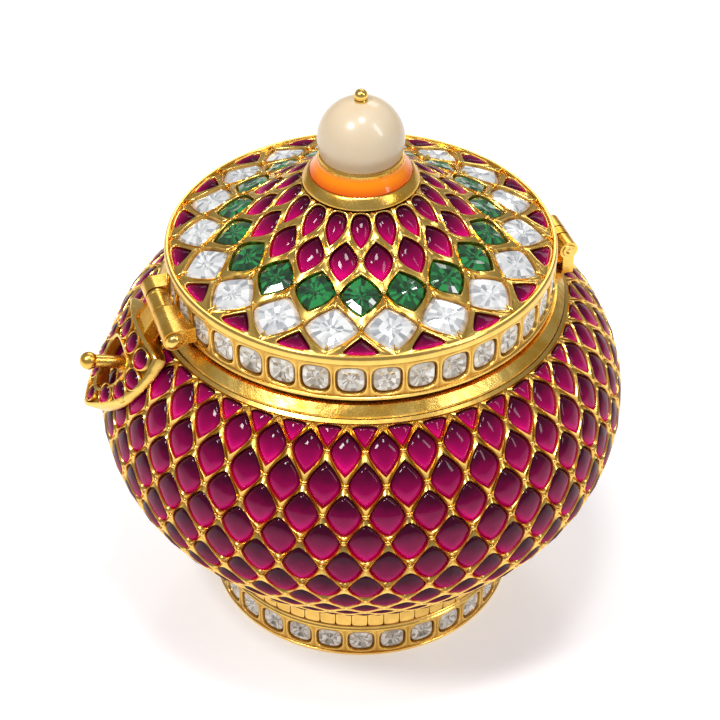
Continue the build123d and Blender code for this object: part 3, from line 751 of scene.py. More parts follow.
    def stone(self, cell: Cell, profile: Sequence[Pair], peak: float, gap: float = 0.02) -> None:
        """The stone of a cell.

        Args:
            cell: The window.
            profile: Scale and lift of each ring, from the girdle up.
            peak: Lift of its middle.
            gap: Room between the stone and its setting.
        """
        mark = self.mark()
        corners = cell.corners()
        middle = cell.centre()[1]
        shrink = 1 - gap / cell.half_width
        rings = []
        for scale, lift in profile:
            scale *= shrink
            rings.append([
                cell.surface.place(turn * scale, middle + (along - middle) * scale, lift)
                for _, (turn, along), _ in corners
            ])
        levels = self.tube([*rings, rings[-1]])
        for level, (scale, _) in zip(levels, profile):
            for vert, (_, _, (across, up)) in zip(level, corners):
                vert[self.gem] = Vector((across * scale, up * scale, 0.5))
        top = cell.surface.place(0.0, middle, peak)
        self.cap(levels[-1], top, 0.5)
        self.outward(mark, top - cell.surface.place(0.0, middle, peak - 1.0))

    def rivet(
        self, head: Sequence[Pair], far: float, near: float, centre: Vector, steps: int
    ) -> None:
        """A pin along X with a head at each end.

        Args:
            head: Pairs of radius and height of the head, from its middle outwards.
            far: Length of the pin from its centre to -X.
            near: Length of the pin from its centre to +X.
            centre: A point on the axis.
            steps: Pieces of the full turn.
        """
        self.lathe([
            *[(r, -far - h) for r, h in head], (PIN_RADIUS, -far), (PIN_RADIUS, near),
            *[(r, near + h) for r, h in reversed(head)],
        ], steps, centre, "X", 0.9)

    def vary(self, pitch: float, phase: float, seed: int) -> None:
        """Gives each stone of a ring its own tone, and each facet its own brightness for painted
        glints and painted shade.
        """
        draw = random.Random(seed)
        tones = [draw.random() for _ in range(512)]
        for vert in self.bm.verts:
            turn = math.degrees(math.atan2(vert.co.y, vert.co.x)) - phase
            slot = round(turn / pitch) * 7 + round(vert.co.z / 2.6)
            gem = vert[self.gem]
            vert[self.gem] = Vector((gem.x, gem.y, tones[slot % 512]))
        for face in self.bm.faces:
            spot = [round(along * 20) for along in face.calc_center_median()]
            face[self.facet] = random.Random(f"{seed} {spot}").random()

    def done(
        self, name: str, body: str, slot: str, material: bpy.types.Material,
        replaced: Sequence[str] = (), sharp: float = 40.0, weld: float = 0.001,
    ) -> bpy.types.Object:
        """Finishes the mesh as one named piece.

        Args:
            name: The piece's name.
            body: The CAD body that it rides.
            slot: The record's material slot; not used.
            material: Its finish.
            replaced: CAD nodes that it stands for.
            sharp: Degrees past which an edge is crisp; 0 leaves every facet flat.
            weld: Distance within which vertices join.

        Returns:
            The object.
        """
        bmesh.ops.remove_doubles(self.bm, verts=self.bm.verts, dist=weld)
        bmesh.ops.scale(self.bm, vec=(MM, MM, MM), verts=self.bm.verts)
        mesh = bpy.data.meshes.new(name)
        self.bm.to_mesh(mesh)
        self.bm.free()
        mesh.materials.append(material)
        if sharp > 0:
            mesh.shade_smooth()
            mesh.set_sharp_from_angle(angle=math.radians(sharp))
        piece = bpy.data.objects.new(name, mesh)
        bpy.context.scene.collection.objects.link(piece)
        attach(piece, body)
        if replaced:
            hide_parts(*replaced)
        LOG.info("%s: %d faces on %s", name, len(mesh.polygons), body)
        return piece


# Each ring: distance out, lift, and how lit the gold is painted, low in grooves and down walls as
# painted shade.
GOLD_RING = (
    (-1.0, -0.2, 0.15), (0.26, -0.06, 0.8), (0.13, 0.0, 1.0), (0.0, -0.14, 0.6), (0.0, -0.85, 0.0),
)
DOME = ((1.0, -0.46), (0.93, -0.2), (0.72, -0.03))
DOME_PEAK = 0.06
# Rings round a hasp stone: distance out, lift, and how lit the gold is painted, low down the wall
# as painted shade.
SEAT_RING = (
    (0.2, -0.3, 0.1), (0.15, -0.03, 0.8), (0.06, 0.02, 1.0), (0.0, -0.08, 0.6), (0.0, -0.5, 0.0),
)


class Finishes:
    """Every material of the box, and the frame whose nodes they dress."""

    def __init__(self, frame: Mapping[str, Any]) -> None:
        """Makes the materials."""
        self.frame = frame
        self.lattice = LatticeGold().material()
        self.beaten = BeatenGold("beaten_gold").material()
        self.matte = BeatenGold(
            "matte_gold", (1.0, 0.64, 0.15), (0.80, 0.40, 0.035), 0.27, 0.7, 0.05
        ).material()
        self.sheet = BeatenGold(
            "inner_gold", (0.95, 0.56, 0.13), (0.66, 0.31, 0.035), 0.3, 0.3, 0.05
        ).material()
        self.ruby = Cabochon(
            "ruby", (0.04, 0.0, 0.012), (0.19, 0.0, 0.045), (0.72, 0.0, 0.18)
        ).material()
        self.emerald = CutStone(
            "emerald", (0.0, 0.014, 0.003), (0.0, 0.07, 0.014), (0.01, 0.25, 0.055),
            (0.0, 0.03, 0.006), glow=0.14,
        ).material()
        self.clear = CutStone(
            "clear_stone", (0.36, 0.38, 0.41), (0.72, 0.73, 0.74), (0.95, 0.95, 0.95),
            (0.74, 0.66, 0.48), metallic=0.2, glow=0.12,
        ).material()
        self.cushion = CutStone(
            "rim_stone", (0.27, 0.22, 0.16), (0.62, 0.56, 0.47), (0.94, 0.92, 0.88),
            (0.60, 0.47, 0.27), metallic=0.2, glow=0.1,
        ).material()
        self.pearl = PearlCoat().material()
        self.enamel = Enamel().material()

    def dress(self, material: bpy.types.Material, *names: str) -> None:
        """Gives CAD nodes a material."""
        for name in names:
            data = self.frame["nodes"][name].data
            data.materials.clear()
            data.materials.append(material)


@dataclass
class PotBody:
    """The round pot: its lattice, its rubies and the collar of its mouth."""

    finishes: Finishes
    surface: PotLine = field(default_factory=PotLine)
    columns: int = 40
    phase: float = 1.5
    rows: Sequence[float] = (
        43.8, 31.0, 19.3, 8.1, -4.1, -15.6, -26.2, -35.4, -38.8, -42.0, -44.9,
    )
    top: float = 54.2
    bottom: float = -47.6

    def cells(self) -> list[tuple[Cell, float]]:
        """Every row's cell with the phase of its ring."""
        stops = [self.surface.at(angle) for angle in (self.top, *self.rows, self.bottom)]
        spread = 180.0 / self.columns
        found = []
        for i in range(1, len(stops) - 1):
            above, row, below = stops[i - 1], stops[i], stops[i + 1]
            width = math.radians(spread) * self.surface.line(row)[0]
            upper = max(0.0, 1 - (i - 1) / 3)
            wide, tall = 0.83 - 0.04 * upper, 0.72 - 0.02 * upper
            cut = Cut.POINTED if i < 3 else Cut.CUSHION
            full = 1.75 if i < 3 else 1.42
            cell = Cell(
                self.surface, row, spread, wide * width,
                Half(above - row, tall * (above - row), cut, full),
                Half(row - below, tall * (row - below), cut, full), steps=5,
            )
            found.append((cell, self.phase + (spread if i % 2 == 1 else 0.0)))
        reach = stops[0] - stops[1]
        found.append((Cell(
            self.surface, stops[0], spread, 1.06,
            Half(0.0, 0.32, Cut.CUSHION, 3.5), Half(reach, 0.62 * reach, fullness=1.12), -0.55,
        ), self.phase))
        reach = stops[-2] - stops[-1]
        found.append((Cell(
            self.surface, stops[-1], spread, 0.9,
            Half(reach, 0.55 * reach, fullness=1.12), Half(0.0, 0.25, Cut.CUSHION, 3.5), 0.45,
        ), self.phase))
        return found

    def build(self) -> None:
        """Makes the lattice and its stones, and dresses the rest of the pot."""
        gold, gems = Work(), Work()
        cells = self.cells()
        for cell, phase in cells:
            mark = gold.mark()
            gold.bezel(cell, GOLD_RING)
            tip = cell.middle - cell.down.reach
            if cell.down.reach > 0:
                spot = cell.surface.place(0.0, tip, -0.26)
                gold.bead(spot, Vector((0.26,) * 3), Matrix.Identity(3))
            gold.round(mark, self.columns, phase)
            mark = gems.mark()
            gems.stone(cell, DOME, DOME_PEAK)
            gems.round(mark, self.columns, phase)
        start, end = self.surface.at(self.top), self.surface.at(55.75)
        low, finish = self.surface.at(self.bottom), self.surface.at(-49.2)
        for first, last in ((start, end), (finish, low)):
            outline = []
            profile = (first, -0.24), (first, -0.02), (last, -0.02), (last, -0.9), (first, -0.9)
            for along, lift in profile:
                spot = self.surface.place(0.0, along, lift)
                outline.append((spot.x, spot.z))
            gold.lathe(outline, painted_light=0.6)
        gems.vary(180.0 / self.columns, self.phase, 7)
        gold.done("pot_lattice", "pot", "gold", self.finishes.lattice, ["pot_setting"], 60.0)
        nodes = self.finishes.frame["nodes"]
        stones = sorted(name for name in nodes if name.startswith("pot_stones_"))
        gems.done("pot_rubies", "pot", "ruby", self.finishes.ruby, stones, 60.0)
        self.finishes.dress(self.finishes.beaten, "mouth_collar", "base_plate")
        self.finishes.dress(self.finishes.sheet, "inner_cup", "pot_shell")


CUSHION_CUT = ((1.0, -0.5), (0.86, -0.2), (0.58, -0.16), (0.3, -0.34))
# Rings of a band window: distance out, lift, and how lit the gold is painted, low down the wall as
# painted shade.
BAND_RING = (
    (-1.0, -0.08, 0.3), (0.18, 0.0, 0.6), (0.05, -0.02, 0.95), (0.0, -0.12, 0.5), (0.0, -0.7, 0.0),
)


@dataclass
class Gallery:
    """A band with a ring of cushion stones in arched windows."""

    finishes: Finishes
    name: str
    body: str
    radius: float
    low: float
    high: float
    stone_low: float
    stone_high: float
    half_width: float
    count: int
    phase: float
    outline: Sequence[Pair]

    def build(self, band_node: str, stone_node: str) -> None:
        """Makes the band and its stones."""
        middle = (self.stone_low + self.stone_high) / 2
        tall = (self.stone_high - self.stone_low) / 2
        cell = Cell(
            BandLine(self.radius), middle, 180.0 / self.count, self.half_width,
            Half(self.high - middle, tall, Cut.CUSHION, 3.6, True),
            Half(middle - self.low, tall, Cut.CUSHION, 3.2, True), steps=6,
        )
        gold = Work()
        mark = gold.mark()
        gold.bezel(cell, BAND_RING)
        gold.round(mark, self.count, self.phase)
        gold.lathe(self.outline, painted_light=0.9)
        gems = Work()
        mark = gems.mark()
        gems.stone(cell, CUSHION_CUT, -0.12)
        gems.round(mark, self.count, self.phase)
        gems.vary(360.0 / self.count, self.phase, 11)
        gold.done(self.name + "_frame", self.body, "gold", self.finishes.lattice, [band_node])
        gems.done(
            self.name + "_cushions", self.body, "clear", self.finishes.cushion, [stone_node], 0.0
        )


@dataclass
class Foot:
    """The foot: its stone band and the ring of small upright tiles over it."""

    finishes: Finishes
    radius: float = 15.2
    inner: float = 12.6

    def build(self) -> None:
        """Makes the band and the tiled ring."""
        r, inner = self.radius, self.inner
        outline = [
            (inner, 0.0), (r - 0.2, 0.0), (r, 0.2), (r, 0.42), (r - 0.1, 0.5), (r - 0.75, 0.5),
            (r - 0.75, 3.4), (r - 0.1, 3.4), (r, 3.48), (r, 3.65), (r - 0.15, 3.8), (inner, 3.8),
        ]
        Gallery(
            self.finishes, "foot", "pot", radius=r - 0.06, low=0.48, high=3.42, stone_low=0.72,
            stone_high=3.28, half_width=1.33, count=30, phase=6.5, outline=outline,
        ).build("foot_band", "foot_stones")
        gold = Work()
        gold.lathe([
            (inner, 3.81), (r - 0.05, 3.81), (r, 3.9), (r, 4.08), (r - 0.08, 4.16),
            (r - 0.35, 4.2), (r - 0.35, 6.03), (inner, 6.03),
        ], painted_light=0.7)
        tile = Cell(
            BandLine(r - 0.05), 5.11, 3.0, 0.7,
            Half(0.92, 0.78, Cut.CUSHION, 7.0, True), Half(0.92, 0.78, Cut.CUSHION, 7.0, True),
        )
        mark = gold.mark()
        # Third numbers: how lit the gold is painted, low in the grooves between tiles as painted
        # shade.
        gold.bezel(tile, ((-1.0, -0.28, 0.1), (0.1, -0.02, 0.9), (0.0, 0.0, 1.0)))
        gold.round(mark, 60, 0.0)
        mark = gold.mark()
        gold.stone(tile, ((1.0, 0.0), (0.8, -0.04)), -0.06, 0.0)
        for vert in gold.since(mark)[0]:
            vert[gold.painted_light] = 0.85
        gold.round(mark, 60, 0.0)
        gold.done("foot_tiles", "pot", "gold", self.finishes.lattice, ["foot_facet_ring"], 35.0)


@dataclass
class LidTop:
    """The lid: its stone rings, rim band and inner sheet."""

    finishes: Finishes
    surface: LidLine = field(default_factory=LidLine)
    fold: int = 18
    phase: float = 2.5
    rim: float = 17.88
    radii: Sequence[float] = (15.1, 11.95, 9.15, 6.7)
    collar: float = 5.42

    def cells(self) -> dict[str, tuple[Cell, float]]:
        """The cell of each ring, with the phase of its ring."""
        at = self.surface.at
        radii = (self.rim, *self.radii, self.collar)
        rim, clear, green, outer, inner, collar = (at(radius) for radius in radii)
        spread = 180.0 / self.fold
        place = self.surface

        def pointed(rows: Triple, width: float, down: float, up: float, full: float) -> Cell:
            """A cell that ends in a point each way."""
            low, middle, high = rows
            return Cell(
                place, middle, spread, width, Half(high - middle, up, fullness=full),
                Half(middle - low, down, fullness=full), steps=6,
            )

        return {
            "lid_clear_stones": (pointed((rim, clear, green), 2.46, 2.38, 2.42, 1.5), spread),
            "lid_green_stones": (pointed((clear, green, outer), 1.9, 2.08, 2.12, 1.7), 0.0),
            "lid_outer_rubies": (pointed((green, outer, inner), 1.3, 1.9, 1.85, 1.8), spread),
            "lid_inner_rubies": (Cell(
                place, inner, spread, 0.9, Half(collar - inner, 1.45, Cut.CUSHION, 2.6, True),
                Half(inner - outer, 1.85, fullness=1.7), steps=6,
            ), 0.0),
            "lid_edge_rubies": (Cell(
                place, rim, spread, 1.55, Half(clear - rim, 1.6, fullness=1.15),
                Half(0.0, 0.3, Cut.CUSHION, 3.5), 0.55, steps=6,
            ), 0.0),
        }

    def build(self) -> None:
        """Makes the lid's lattice, stones and rim band, and dresses its sheet."""
        gold = Work()
        # Rings of the lid's settings: distance out, lift, and how lit the gold is painted, low
        # down the walls as painted shade.
        wall = (
            (-1.0, -0.1, 0.6), (0.28, -0.02, 0.85), (0.15, 0.03, 1.0), (0.05, 0.0, 0.95),
            (0.0, -0.1, 0.6), (0.0, -0.85, 0.0),
        )
        ruby = ((1.0, -0.5), (0.92, -0.2), (0.7, 0.0), (0.4, 0.1))
        table = ((1.0, -0.42), (0.86, -0.16), (0.52, 0.02), (0.26, -0.06))
        star = ((1.0, -0.46), (0.8, -0.1), (0.46, 0.06), (0.2, -0.1))
        cuts = {
            "lid_clear_stones": (star, -0.02, "clear", self.finishes.clear, 0.0),
            "lid_green_stones": (table, 0.0, "emerald", self.finishes.emerald, 0.0),
            "lid_outer_rubies": (ruby, 0.12, "ruby", self.finishes.ruby, 60.0),
            "lid_inner_rubies": (ruby, 0.1, "ruby", self.finishes.ruby, 60.0),
            "lid_edge_rubies": (ruby, 0.06, "ruby", self.finishes.ruby, 60.0),
        }
        for seed, (name, (cell, shift)) in enumerate(self.cells().items()):
            mark = gold.mark()
            gold.bezel(cell, wall)
            tip = cell.middle - cell.down.reach
            if name == "lid_clear_stones":
                self.prong(gold, cell.middle - 2.35, 0.62)
                self.prong(gold, cell.middle + 2.5, 0.6)
            elif cell.down.reach > 0:
                spot = self.surface.place(0.0, tip + 0.25, 0.0)
                gold.bead(spot, Vector((0.24,) * 3), Matrix.Identity(3))
            gold.round(mark, self.fold, self.phase + shift)
            profile, peak, slot, finish, sharp = cuts[name]
            gems = Work()
            mark = gems.mark()
            gems.stone(cell, profile, peak)
            gems.round(mark, self.fold, self.phase + shift)
            gems.vary(360.0 / self.fold, self.phase + shift, 20 + seed)
            piece = name.replace("stones", "gems").replace("rubies", "cabochons")
            gems.done(piece, "lid", slot, finish, [name], sharp)
        gold.done("lid_lattice", "lid", "gold", self.finishes.lattice, ["lid_setting"], 60.0)
        r = 18.35
        outline = [
            (16.86, 35.66), (r - 0.12, 35.66), (r, 35.76), (r, 35.98), (r - 0.1, 36.05),
            (r - 0.75, 36.05), (r - 0.75, 39.6), (r - 0.1, 39.6), (r, 39.7), (r, 40.1),
            (r - 0.06, 40.3), (r - 0.2, 40.42), (r - 0.36, 40.42), (r - 0.46, 40.3),
            (r - 0.48, 39.9), (16.86, 39.9),
        ]
        Gallery(
            self.finishes, "rim", "lid", radius=r - 0.06, low=36.03, high=39.62, stone_low=36.35,
            stone_high=39.3, half_width=1.38, count=36, phase=9.75, outline=outline,
        ).build("lid_rim_band", "lid_rim_stones")
        self.finishes.dress(self.finishes.sheet, "lid_plate")

    def prong(self, gold: Work, along: float, length: float) -> None:
        """A claw over a stone's tip, lying up the slope."""
        _, _, facing = self.surface.line(along)
        turn = Matrix.Rotation(math.pi / 2 - facing, 3, "Y")
        gold.bead(self.surface.place(0.0, along, 0.02), Vector((length, 0.17, 0.2)), turn)


@dataclass
class Finial:
    """The finial: collar, enamel ring, pearl and its pin."""

    finishes: Finishes

    def build(self) -> None:
        """Makes the collar, pearl and pin head, and dresses the rest."""
        collar = Work()
        collar.lathe([
            (0.42, 46.92), (5.34, 46.92), (5.41, 46.97), (5.41, 47.03), (5.29, 47.24),
            (5.1, 47.52), (4.92, 47.76), (4.84, 47.84), (4.74, 47.9), (4.66, 47.86), (0.42, 47.86),
        ])
        collar.done("finial_ring", "lid", "gold", self.finishes.beaten, ["finial_collar"], 50.0)
        pearl = Work()
        outline = [
            (4.0 * math.sin(a), 51.2 - 4.0 * math.cos(a))
            for a in (0.46 + (math.pi - 0.46 - 0.11) * i / 40 for i in range(41))
        ]
        pearl.lathe([(0.44, outline[0][1]), *outline, (0.44, outline[-1][1])], 96)
        pearl.done("pearl_ball", "lid", "pearl", self.finishes.pearl, ["pearl"], 50.0)
        pin = Work()
        ball = [
            (0.62 * math.sin(a), 55.67 - 0.62 * math.cos(a))
            for a in (0.85 + (math.pi - 0.85) * i / 14 for i in range(15))
        ]
        pin.lathe([
            (0.0, 43.0), (0.4, 43.0), (0.4, 55.14), (0.6, 55.14), (0.64, 55.2), (0.64, 55.28),
            (0.58, 55.36), *ball,
        ], 32, painted_light=1.0)
        pin.done("pearl_pin", "lid", "gold", self.finishes.lattice, ["finial_pin"], 50.0)
        names = "pearl_bezel", "finial_washer", "finial_nut"
        self.finishes.dress(self.finishes.beaten, *names)
        self.finishes.dress(self.finishes.enamel, "enamel_ring")


@dataclass
class Hinge:
    """The lid's hinge at the back, with its riveted pin."""

    finishes: Finishes
    centre: Vector = field(default_factory=lambda: Vector((0.0, 19.45, 37.3)))
    near: float = 4.0
    far: float = 0.9

    def build(self) -> None:
        """Makes the pin and dresses the leaves."""
        pin = Work()
        head = (
            (0.0, 0.15), (0.22, 0.15), (0.3, 0.09), (0.42, 0.09), (0.5, 0.13), (0.6, 0.11),
            (0.66, 0.02),
        )
        pin.rivet(head, self.far, self.near, self.centre, 32)
        pin.done("hinge_rivet", "pot", "gold", self.finishes.lattice, ["hinge_pin"], 40.0)
        self.finishes.dress(self.finishes.matte, "hinge_pot_leaf", "hinge_lid_leaf")


@dataclass
class Clasp:
    """The clasp: knuckles on the lid, the stone-set hasp and the peg it drops over."""

    finishes: Finishes
    axis: Vector = field(default_factory=lambda: Vector((0.0, -19.45, 36.9)))
    tilt: float = 34.0
    knuckle: float = 1.05
    top: float = 2.7
    bend: float = 13.0
    near: float = 5.8
    far: float = 3.1
    own: Pair = (-1.125, 1.675)
    outline: Sequence[Pair] = (
        (4.25, 0.0), (4.95, 0.9), (5.2, 1.9), (5.15, 3.2), (4.8, 4.7),
        (4.05, 6.3), (2.95, 7.7), (1.6, 8.95), (0.45, 9.8), (0.0, 9.95),
    )
    opening: Sequence[Pair] = (
        (0.0, 2.75), (1.2, 2.85), (2.15, 3.2), (2.45, 4.15),
        (2.1, 5.5), (1.4, 6.7), (0.6, 7.45), (0.0, 7.65),
    )
    stones: Sequence[Seat] = (
        (1.15, 1.42, 0.92, 0.98, 0.0), (3.4, 1.55, 0.98, 0.92, 30.0),
        (3.86, 3.6, 0.86, 0.98, 80.0), (3.32, 5.48, 0.8, 0.92, 60.0),
        (1.95, 7.08, 0.8, 0.9, 34.0),
    )
    tip: Seat = (0.0, 8.55, 0.62, 0.72, 0.0)

    def spot(self, across: float, down: float, out: float) -> Vector:
        """A point of the plate: across, down from its top edge, and out from its hinge's plane."""
        t = math.radians(self.tilt)
        up, face = Vector((0, math.sin(t), math.cos(t))), Vector((0, -math.cos(t), math.sin(t)))
        return self.axis + Vector((across, 0, 0)) - up * (self.top + down) + face * out

    def out(self) -> Vector:
        """The way that the plate faces."""
        return self.spot(0, 0, 1) - self.spot(0, 0, 0)

    def front(self, across: float) -> float:
        """How far out the bent face is."""
        return self.knuckle - self.bend + math.sqrt(self.bend ** 2 - across ** 2)

    def rays(self, half: Sequence[Pair], count: int) -> list[Pair]:
        """A half outline made whole and smooth, met by rays from the opening's middle.

        Args:
            half: Points from the middle line round the right side.
            count: Rays of the full turn.

        Returns:
            The points that the rays meet, in order.
        """
        left = [(-x, y) for x, y in reversed(half) if x > 1e-6]
        line = smoothed([*half, *left], 5, True)
        centre = OPENING_MIDDLE
        found = []
        for i in range(count):
            a = math.tau * i / count
            way = (math.cos(a), math.sin(a))
            best = 0.0
            for (x0, y0), (x1, y1) in zip(line, line[1:] + line[:1]):
                ex, ey = x1 - x0, y1 - y0
                det = way[0] * ey - way[1] * ex
                if abs(det) < 1e-12:
                    continue
                dx, dy = x0 - centre[0], y0 - centre[1]
                far = (dx * ey - dy * ex) / det
                share = (dx * way[1] - dy * way[0]) / det
                if far > 0 and -1e-9 <= share <= 1 + 1e-9:
                    best = max(best, far)
            found.append((centre[0] + best * way[0], centre[1] + best * way[1]))
        return found

    def behind(self, across: float, down: float) -> float:
        """The plate's back, kept clear of the pot's belly and of the lid's and collar's edges."""
        pot, out = PotLine(), -1.0
        while out < 0.6:
            p = self.spot(across, down, out)
            radius = math.hypot(p.x, p.y)
            centre = pot.belly_radius - pot.upper_arc
            away = math.hypot(radius - centre, p.z - pot.belly_height) - pot.upper_arc
            if p.z < pot.belly_height:
                away = radius - pot.belly_radius
            over_collar = p.z > COLLAR_HEIGHT and radius < COLLAR_CLEAR_RADIUS
            if away >= CLEAR_OF_POT and not over_collar:
                break
            out += 0.05
        return out

    def plate(self) -> None:
        """The thick bent plate with its rims, opening, link and knuckle."""
        gold = Work()
        outer, hole = self.rays(self.outline, 96), self.rays(self.opening, 96)

        def ring(toward: float, drop: float, from_hole: bool, back: bool = False) -> list[Vector]:
            """One ring of the plate, moved a little from one edge toward the other."""
            spots = []
            for o, h in zip(outer, hole):
                start, end = (h, o) if from_hole else (o, h)
                length = math.dist(start, end)
                share = min(toward / length, 0.45)
                x = start[0] + (end[0] - start[0]) * share
                y = start[1] + (end[1] - start[1]) * share
                spots.append(self.spot(x, y, self.behind(x, y) if back else self.front(x) - drop))
            return spots

        mark = gold.mark()
        rings = [
            ring(0.0, 0.16, False), ring(0.14, 0.02, False), ring(0.36, 0.0, False),
            ring(0.5, 0.3, False), ring(0.42, 0.3, True), ring(0.3, 0.0, True),
            ring(0.12, 0.02, True), ring(0.0, 0.14, True), ring(0.0, 0.0, True, True),
            ring(0.0, 0.0, False, True),
        ]
        # How lit each ring of the plate is painted: low values are painted shade in the sunken
        # band between the rims and on the back by the opening.
        shades = (0.85, 1.0, 0.9, 0.1, 0.1, 0.9, 1.0, 0.8, 0.2, 0.8)
        gold.shade(gold.tube(rings, True), shades)
        bmesh.ops.recalc_face_normals(gold.bm, faces=gold.since(mark)[2])
        for cell in self.seats():
            self.seat(gold, cell)
        k, (low, high) = self.knuckle, self.own
        gold.done("hasp_face", "hasp", "gold", self.finishes.lattice, ["hasp_plate"], 42.0)
        hinge = Work()
        hinge.lathe([
            (0.45, low), (k - 0.1, low), (k, low + 0.1), (k, low + 0.4), (k - 0.05, low + 0.46),
            (k, low + 0.52), (k, high - 0.1), (k - 0.1, high), (0.45, high),
        ], 40, self.axis, "X")
        link = bmesh.ops.create_cube(hinge.bm, size=1.0)["verts"]
        for vert in link:
            across = (low + high) / 2 + vert.co.x * (high - low - 0.2)
            down, out = vert.co.y * 2.15 - 1.3, vert.co.z * 1.3 - 0.05
            vert.co = self.spot(across, down, out)
            vert[hinge.painted_light] = 0.7
        edges = list({edge for vert in link for edge in vert.link_edges})
        bmesh.ops.bevel(
            hinge.bm, geom=edges, offset=0.12, segments=2, profile=0.5, affect="EDGES", material=-1
        )
        hinge.done("hasp_knuckle", "hasp", "gold", self.finishes.matte, (), 35.0)

    def seats(self) -> list[Seat]:
        """Every stone of the hasp: across, down, half width, half length, turn."""
        found = [(s * u, v, w, h, s * t) for u, v, w, h, t in self.stones for s in (-1, 1)]
        return [*found, self.tip]

    def oval(
        self, seat: Seat, scale: float, grow: float, lift: float,
        count: int = 20,
    ) -> list[Vector]:
        """A ring of points round a stone of the hasp.

        Args:
            seat: The stone.
            scale: Share of its size.
            grow: Added round it.
            lift: Height over the bent face.
            count: Points of the ring.

        Returns:
            The points.
        """
        across, down, half_w, half_h, turn = seat
        t = math.radians(turn)
        spots = []
        for i in range(count):
            a = math.tau * i / count
            x, y = (half_w * scale + grow) * math.cos(a), (half_h * scale + grow) * math.sin(a)
            u = across + x * math.cos(t) - y * math.sin(t)
            v = down - (x * math.sin(t) + y * math.cos(t))
            spots.append(self.spot(u, v, self.front(u) + lift))
        return spots

    def seat(self, gold: Work, seat: Seat) -> None:
        """The gold rim round one stone of the hasp."""
        mark = gold.mark()
        rings = [self.oval(seat, 1.0, grow, lift) for grow, lift, _ in SEAT_RING]
        gold.shade(gold.tube(rings), [shade for _, _, shade in SEAT_RING])
        gold.outward(mark, self.out())

    def gems(self) -> None:
        """The hasp's domed rubies."""
        gems = Work()
        draw = random.Random(31)
        profile = ((1.0, -0.36), (0.93, -0.12), (0.7, 0.02), (0.4, 0.08))
        for seat in self.seats():
            mark = gems.mark()
            rings = [self.oval(seat, scale, -0.015, lift) for scale, lift in profile]
            levels = gems.tube([*rings, rings[-1]])
            tone = draw.random()
            for level, (scale, _) in zip(levels, profile):
                for i, vert in enumerate(level):
                    a = math.tau * i / len(level) + math.radians(seat[4])
                    vert[gems.gem] = Vector((scale * math.cos(a), scale * math.sin(a), tone))
            top = self.spot(seat[0], seat[1], self.front(seat[0]) + 0.1)
            gems.cap(levels[-1], top, tone)
            gems.outward(mark, self.out())
        gems.done("hasp_rubies", "hasp", "ruby", self.finishes.ruby, ["hasp_stones"], 60.0)

    def build(self) -> None:
        """Makes the hasp, its stones and pin, and dresses the rest."""
        self.plate()
        self.gems()
        pin = Work()
        head = ((0.0, 0.6), (0.38, 0.58), (0.7, 0.3), (0.72, 0.22), (0.84, 0.15), (0.84, 0.03))
        pin.rivet(head, self.far, self.near, self.axis, 36)
        pin.done("clasp_rivet", "lid", "gold", self.finishes.lattice, ["clasp_pin"], 40.0)
        names = "clasp_knuckles", "catch_peg", "peg_seat"
        self.finishes.dress(self.finishes.matte, *names)


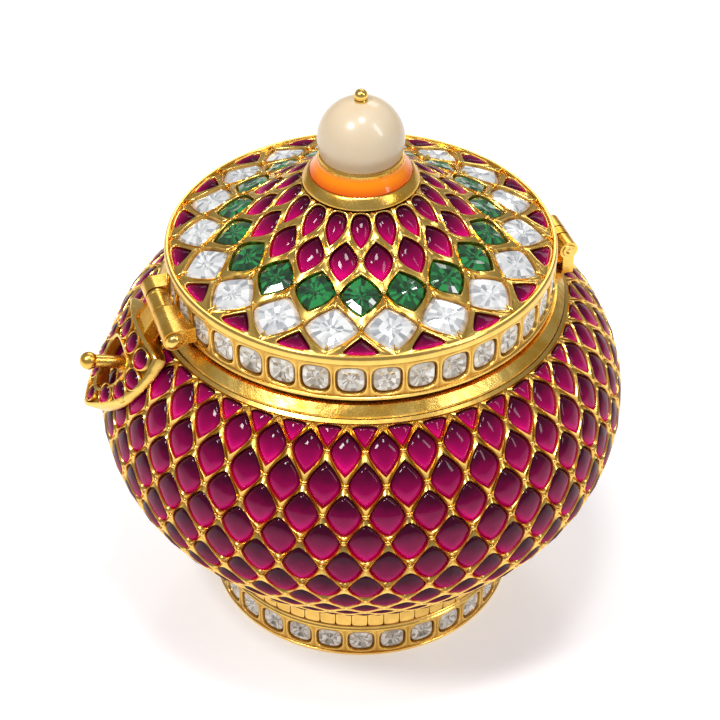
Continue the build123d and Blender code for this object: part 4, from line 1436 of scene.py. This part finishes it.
@dataclass
class Studio:
    """Camera, floor and soft lights."""

    target: Vector = field(default_factory=lambda: Vector((0.0, 0.0, 25.633)) * MM)
    distance: float = 203.39 * MM
    turn: float = -17.5
    elevation: float = 38.648
    lens: float = 104.11
    sensor: float = 36.0
    shift: float = -1.0 / 720.0

    def away(self, turn: float, elevation: float) -> Vector:
        """The way from the target to a place round it."""
        t, e = math.radians(turn), math.radians(elevation)
        return Vector((math.cos(e) * math.cos(t), math.cos(e) * math.sin(t), math.sin(e)))

    def aim(self, item: bpy.types.Object, turn: float, elevation: float, far: float) -> None:
        """Puts a camera or lamp round the target, looking at it."""
        way = self.away(turn, elevation)
        item.location = self.target + way * far
        item.rotation_mode = "QUATERNION"
        item.rotation_quaternion = (-way).to_track_quat("-Z", "Y")
        bpy.context.scene.collection.objects.link(item)

    def camera(self) -> None:
        """The photograph's view."""
        data = bpy.data.cameras.new("view")
        data.lens, data.sensor_width, data.shift_x = self.lens, self.sensor, self.shift
        data.clip_start, data.clip_end = 0.01, 10.0
        camera = bpy.data.objects.new("view", data)
        self.aim(camera, self.turn, self.elevation, self.distance)
        bpy.context.scene.camera = camera

    def lamp(
        self, name: str, turn: float, elevation: float, far: float, size: Pair, power: float
    ) -> None:
        """One soft box that faces the object.

        Args:
            name: Its name.
            turn: Degrees round from the camera, to the right.
            elevation: Degrees above level.
            far: Distance in metres.
            size: Width and height in metres.
            power: Watts.
        """
        data = bpy.data.lights.new(name, "AREA")
        data.shape, data.size, data.size_y, data.energy = "RECTANGLE", size[0], size[1], power
        self.aim(bpy.data.objects.new(name, data), self.turn + turn, elevation, far)

    def floor(self) -> None:
        """The pale floor, which stays white to the camera and keeps its shadow."""
        bm = bmesh.new()
        bmesh.ops.create_grid(bm, x_segments=1, y_segments=1, size=2.0)
        mesh = bpy.data.meshes.new("floor")
        bm.to_mesh(mesh)
        bm.free()
        floor = bpy.data.objects.new("floor", mesh)
        floor.location.z = -0.00002
        bpy.context.scene.collection.objects.link(floor)
        paint = Paint("pale_floor")
        path = paint.node("LightPath", output="Is Camera Ray")
        glossy = Value(paint, path.socket.node.outputs["Is Glossy Ray"])
        seen = paint.clamp(path + glossy)
        plain = paint.node("BsdfPrincipled", sockets={
            "Base Color": (0.88, 0.88, 0.88, 1.0), "Roughness": 0.22, "IOR": 1.35,
        })
        glow = paint.node("Emission", sockets={"Color": (1, 1, 1, 1), "Strength": 0.36})
        both = paint.node("AddShader", sockets={0: plain, 1: glow})
        paint.shown(paint.node("MixShader", sockets={0: seen, 1: plain, 2: both}))
        mesh.materials.append(paint.material)

    def world(self) -> None:
        """Even light from all round."""
        world = bpy.data.worlds.new("studio")
        world.use_nodes = True
        nodes = world.node_tree.nodes
        nodes["Background"].inputs["Color"].default_value = (1.0, 1.0, 1.0, 1.0)
        nodes["Background"].inputs["Strength"].default_value = 0.30
        bpy.context.scene.world = world

    def build(self) -> None:
        """Sets up the studio."""
        bpy.context.scene.view_settings.view_transform = "Standard"
        self.camera()
        self.floor()
        self.world()
        self.lamp("key", -50.0, 58.0, 0.42, (0.08, 0.08), 0.80)
        self.lamp("fill", 62.0, 42.0, 0.45, (0.06, 0.26), 0.38)
        self.lamp("top", 10.0, 80.0, 0.4, (0.07, 0.07), 0.42)
        self.lamp("back", 170.0, 40.0, 0.45, (0.3, 0.12), 0.30)


def corners(box: tuple[Vector, Vector]) -> list[list[float]]:
    """The two corners of a box as plain lists."""
    return [list(corner) for corner in box]


def main() -> None:
    """Builds the studio and every sub-assembly in order."""
    logging.basicConfig(level=logging.INFO, format="%(message)s")
    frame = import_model()
    Studio().build()
    finishes = Finishes(frame)
    for part in (PotBody, Foot, LidTop, Finial, Hinge, Clasp):
        part(finishes).build()


if __name__ == "__main__":
    main()
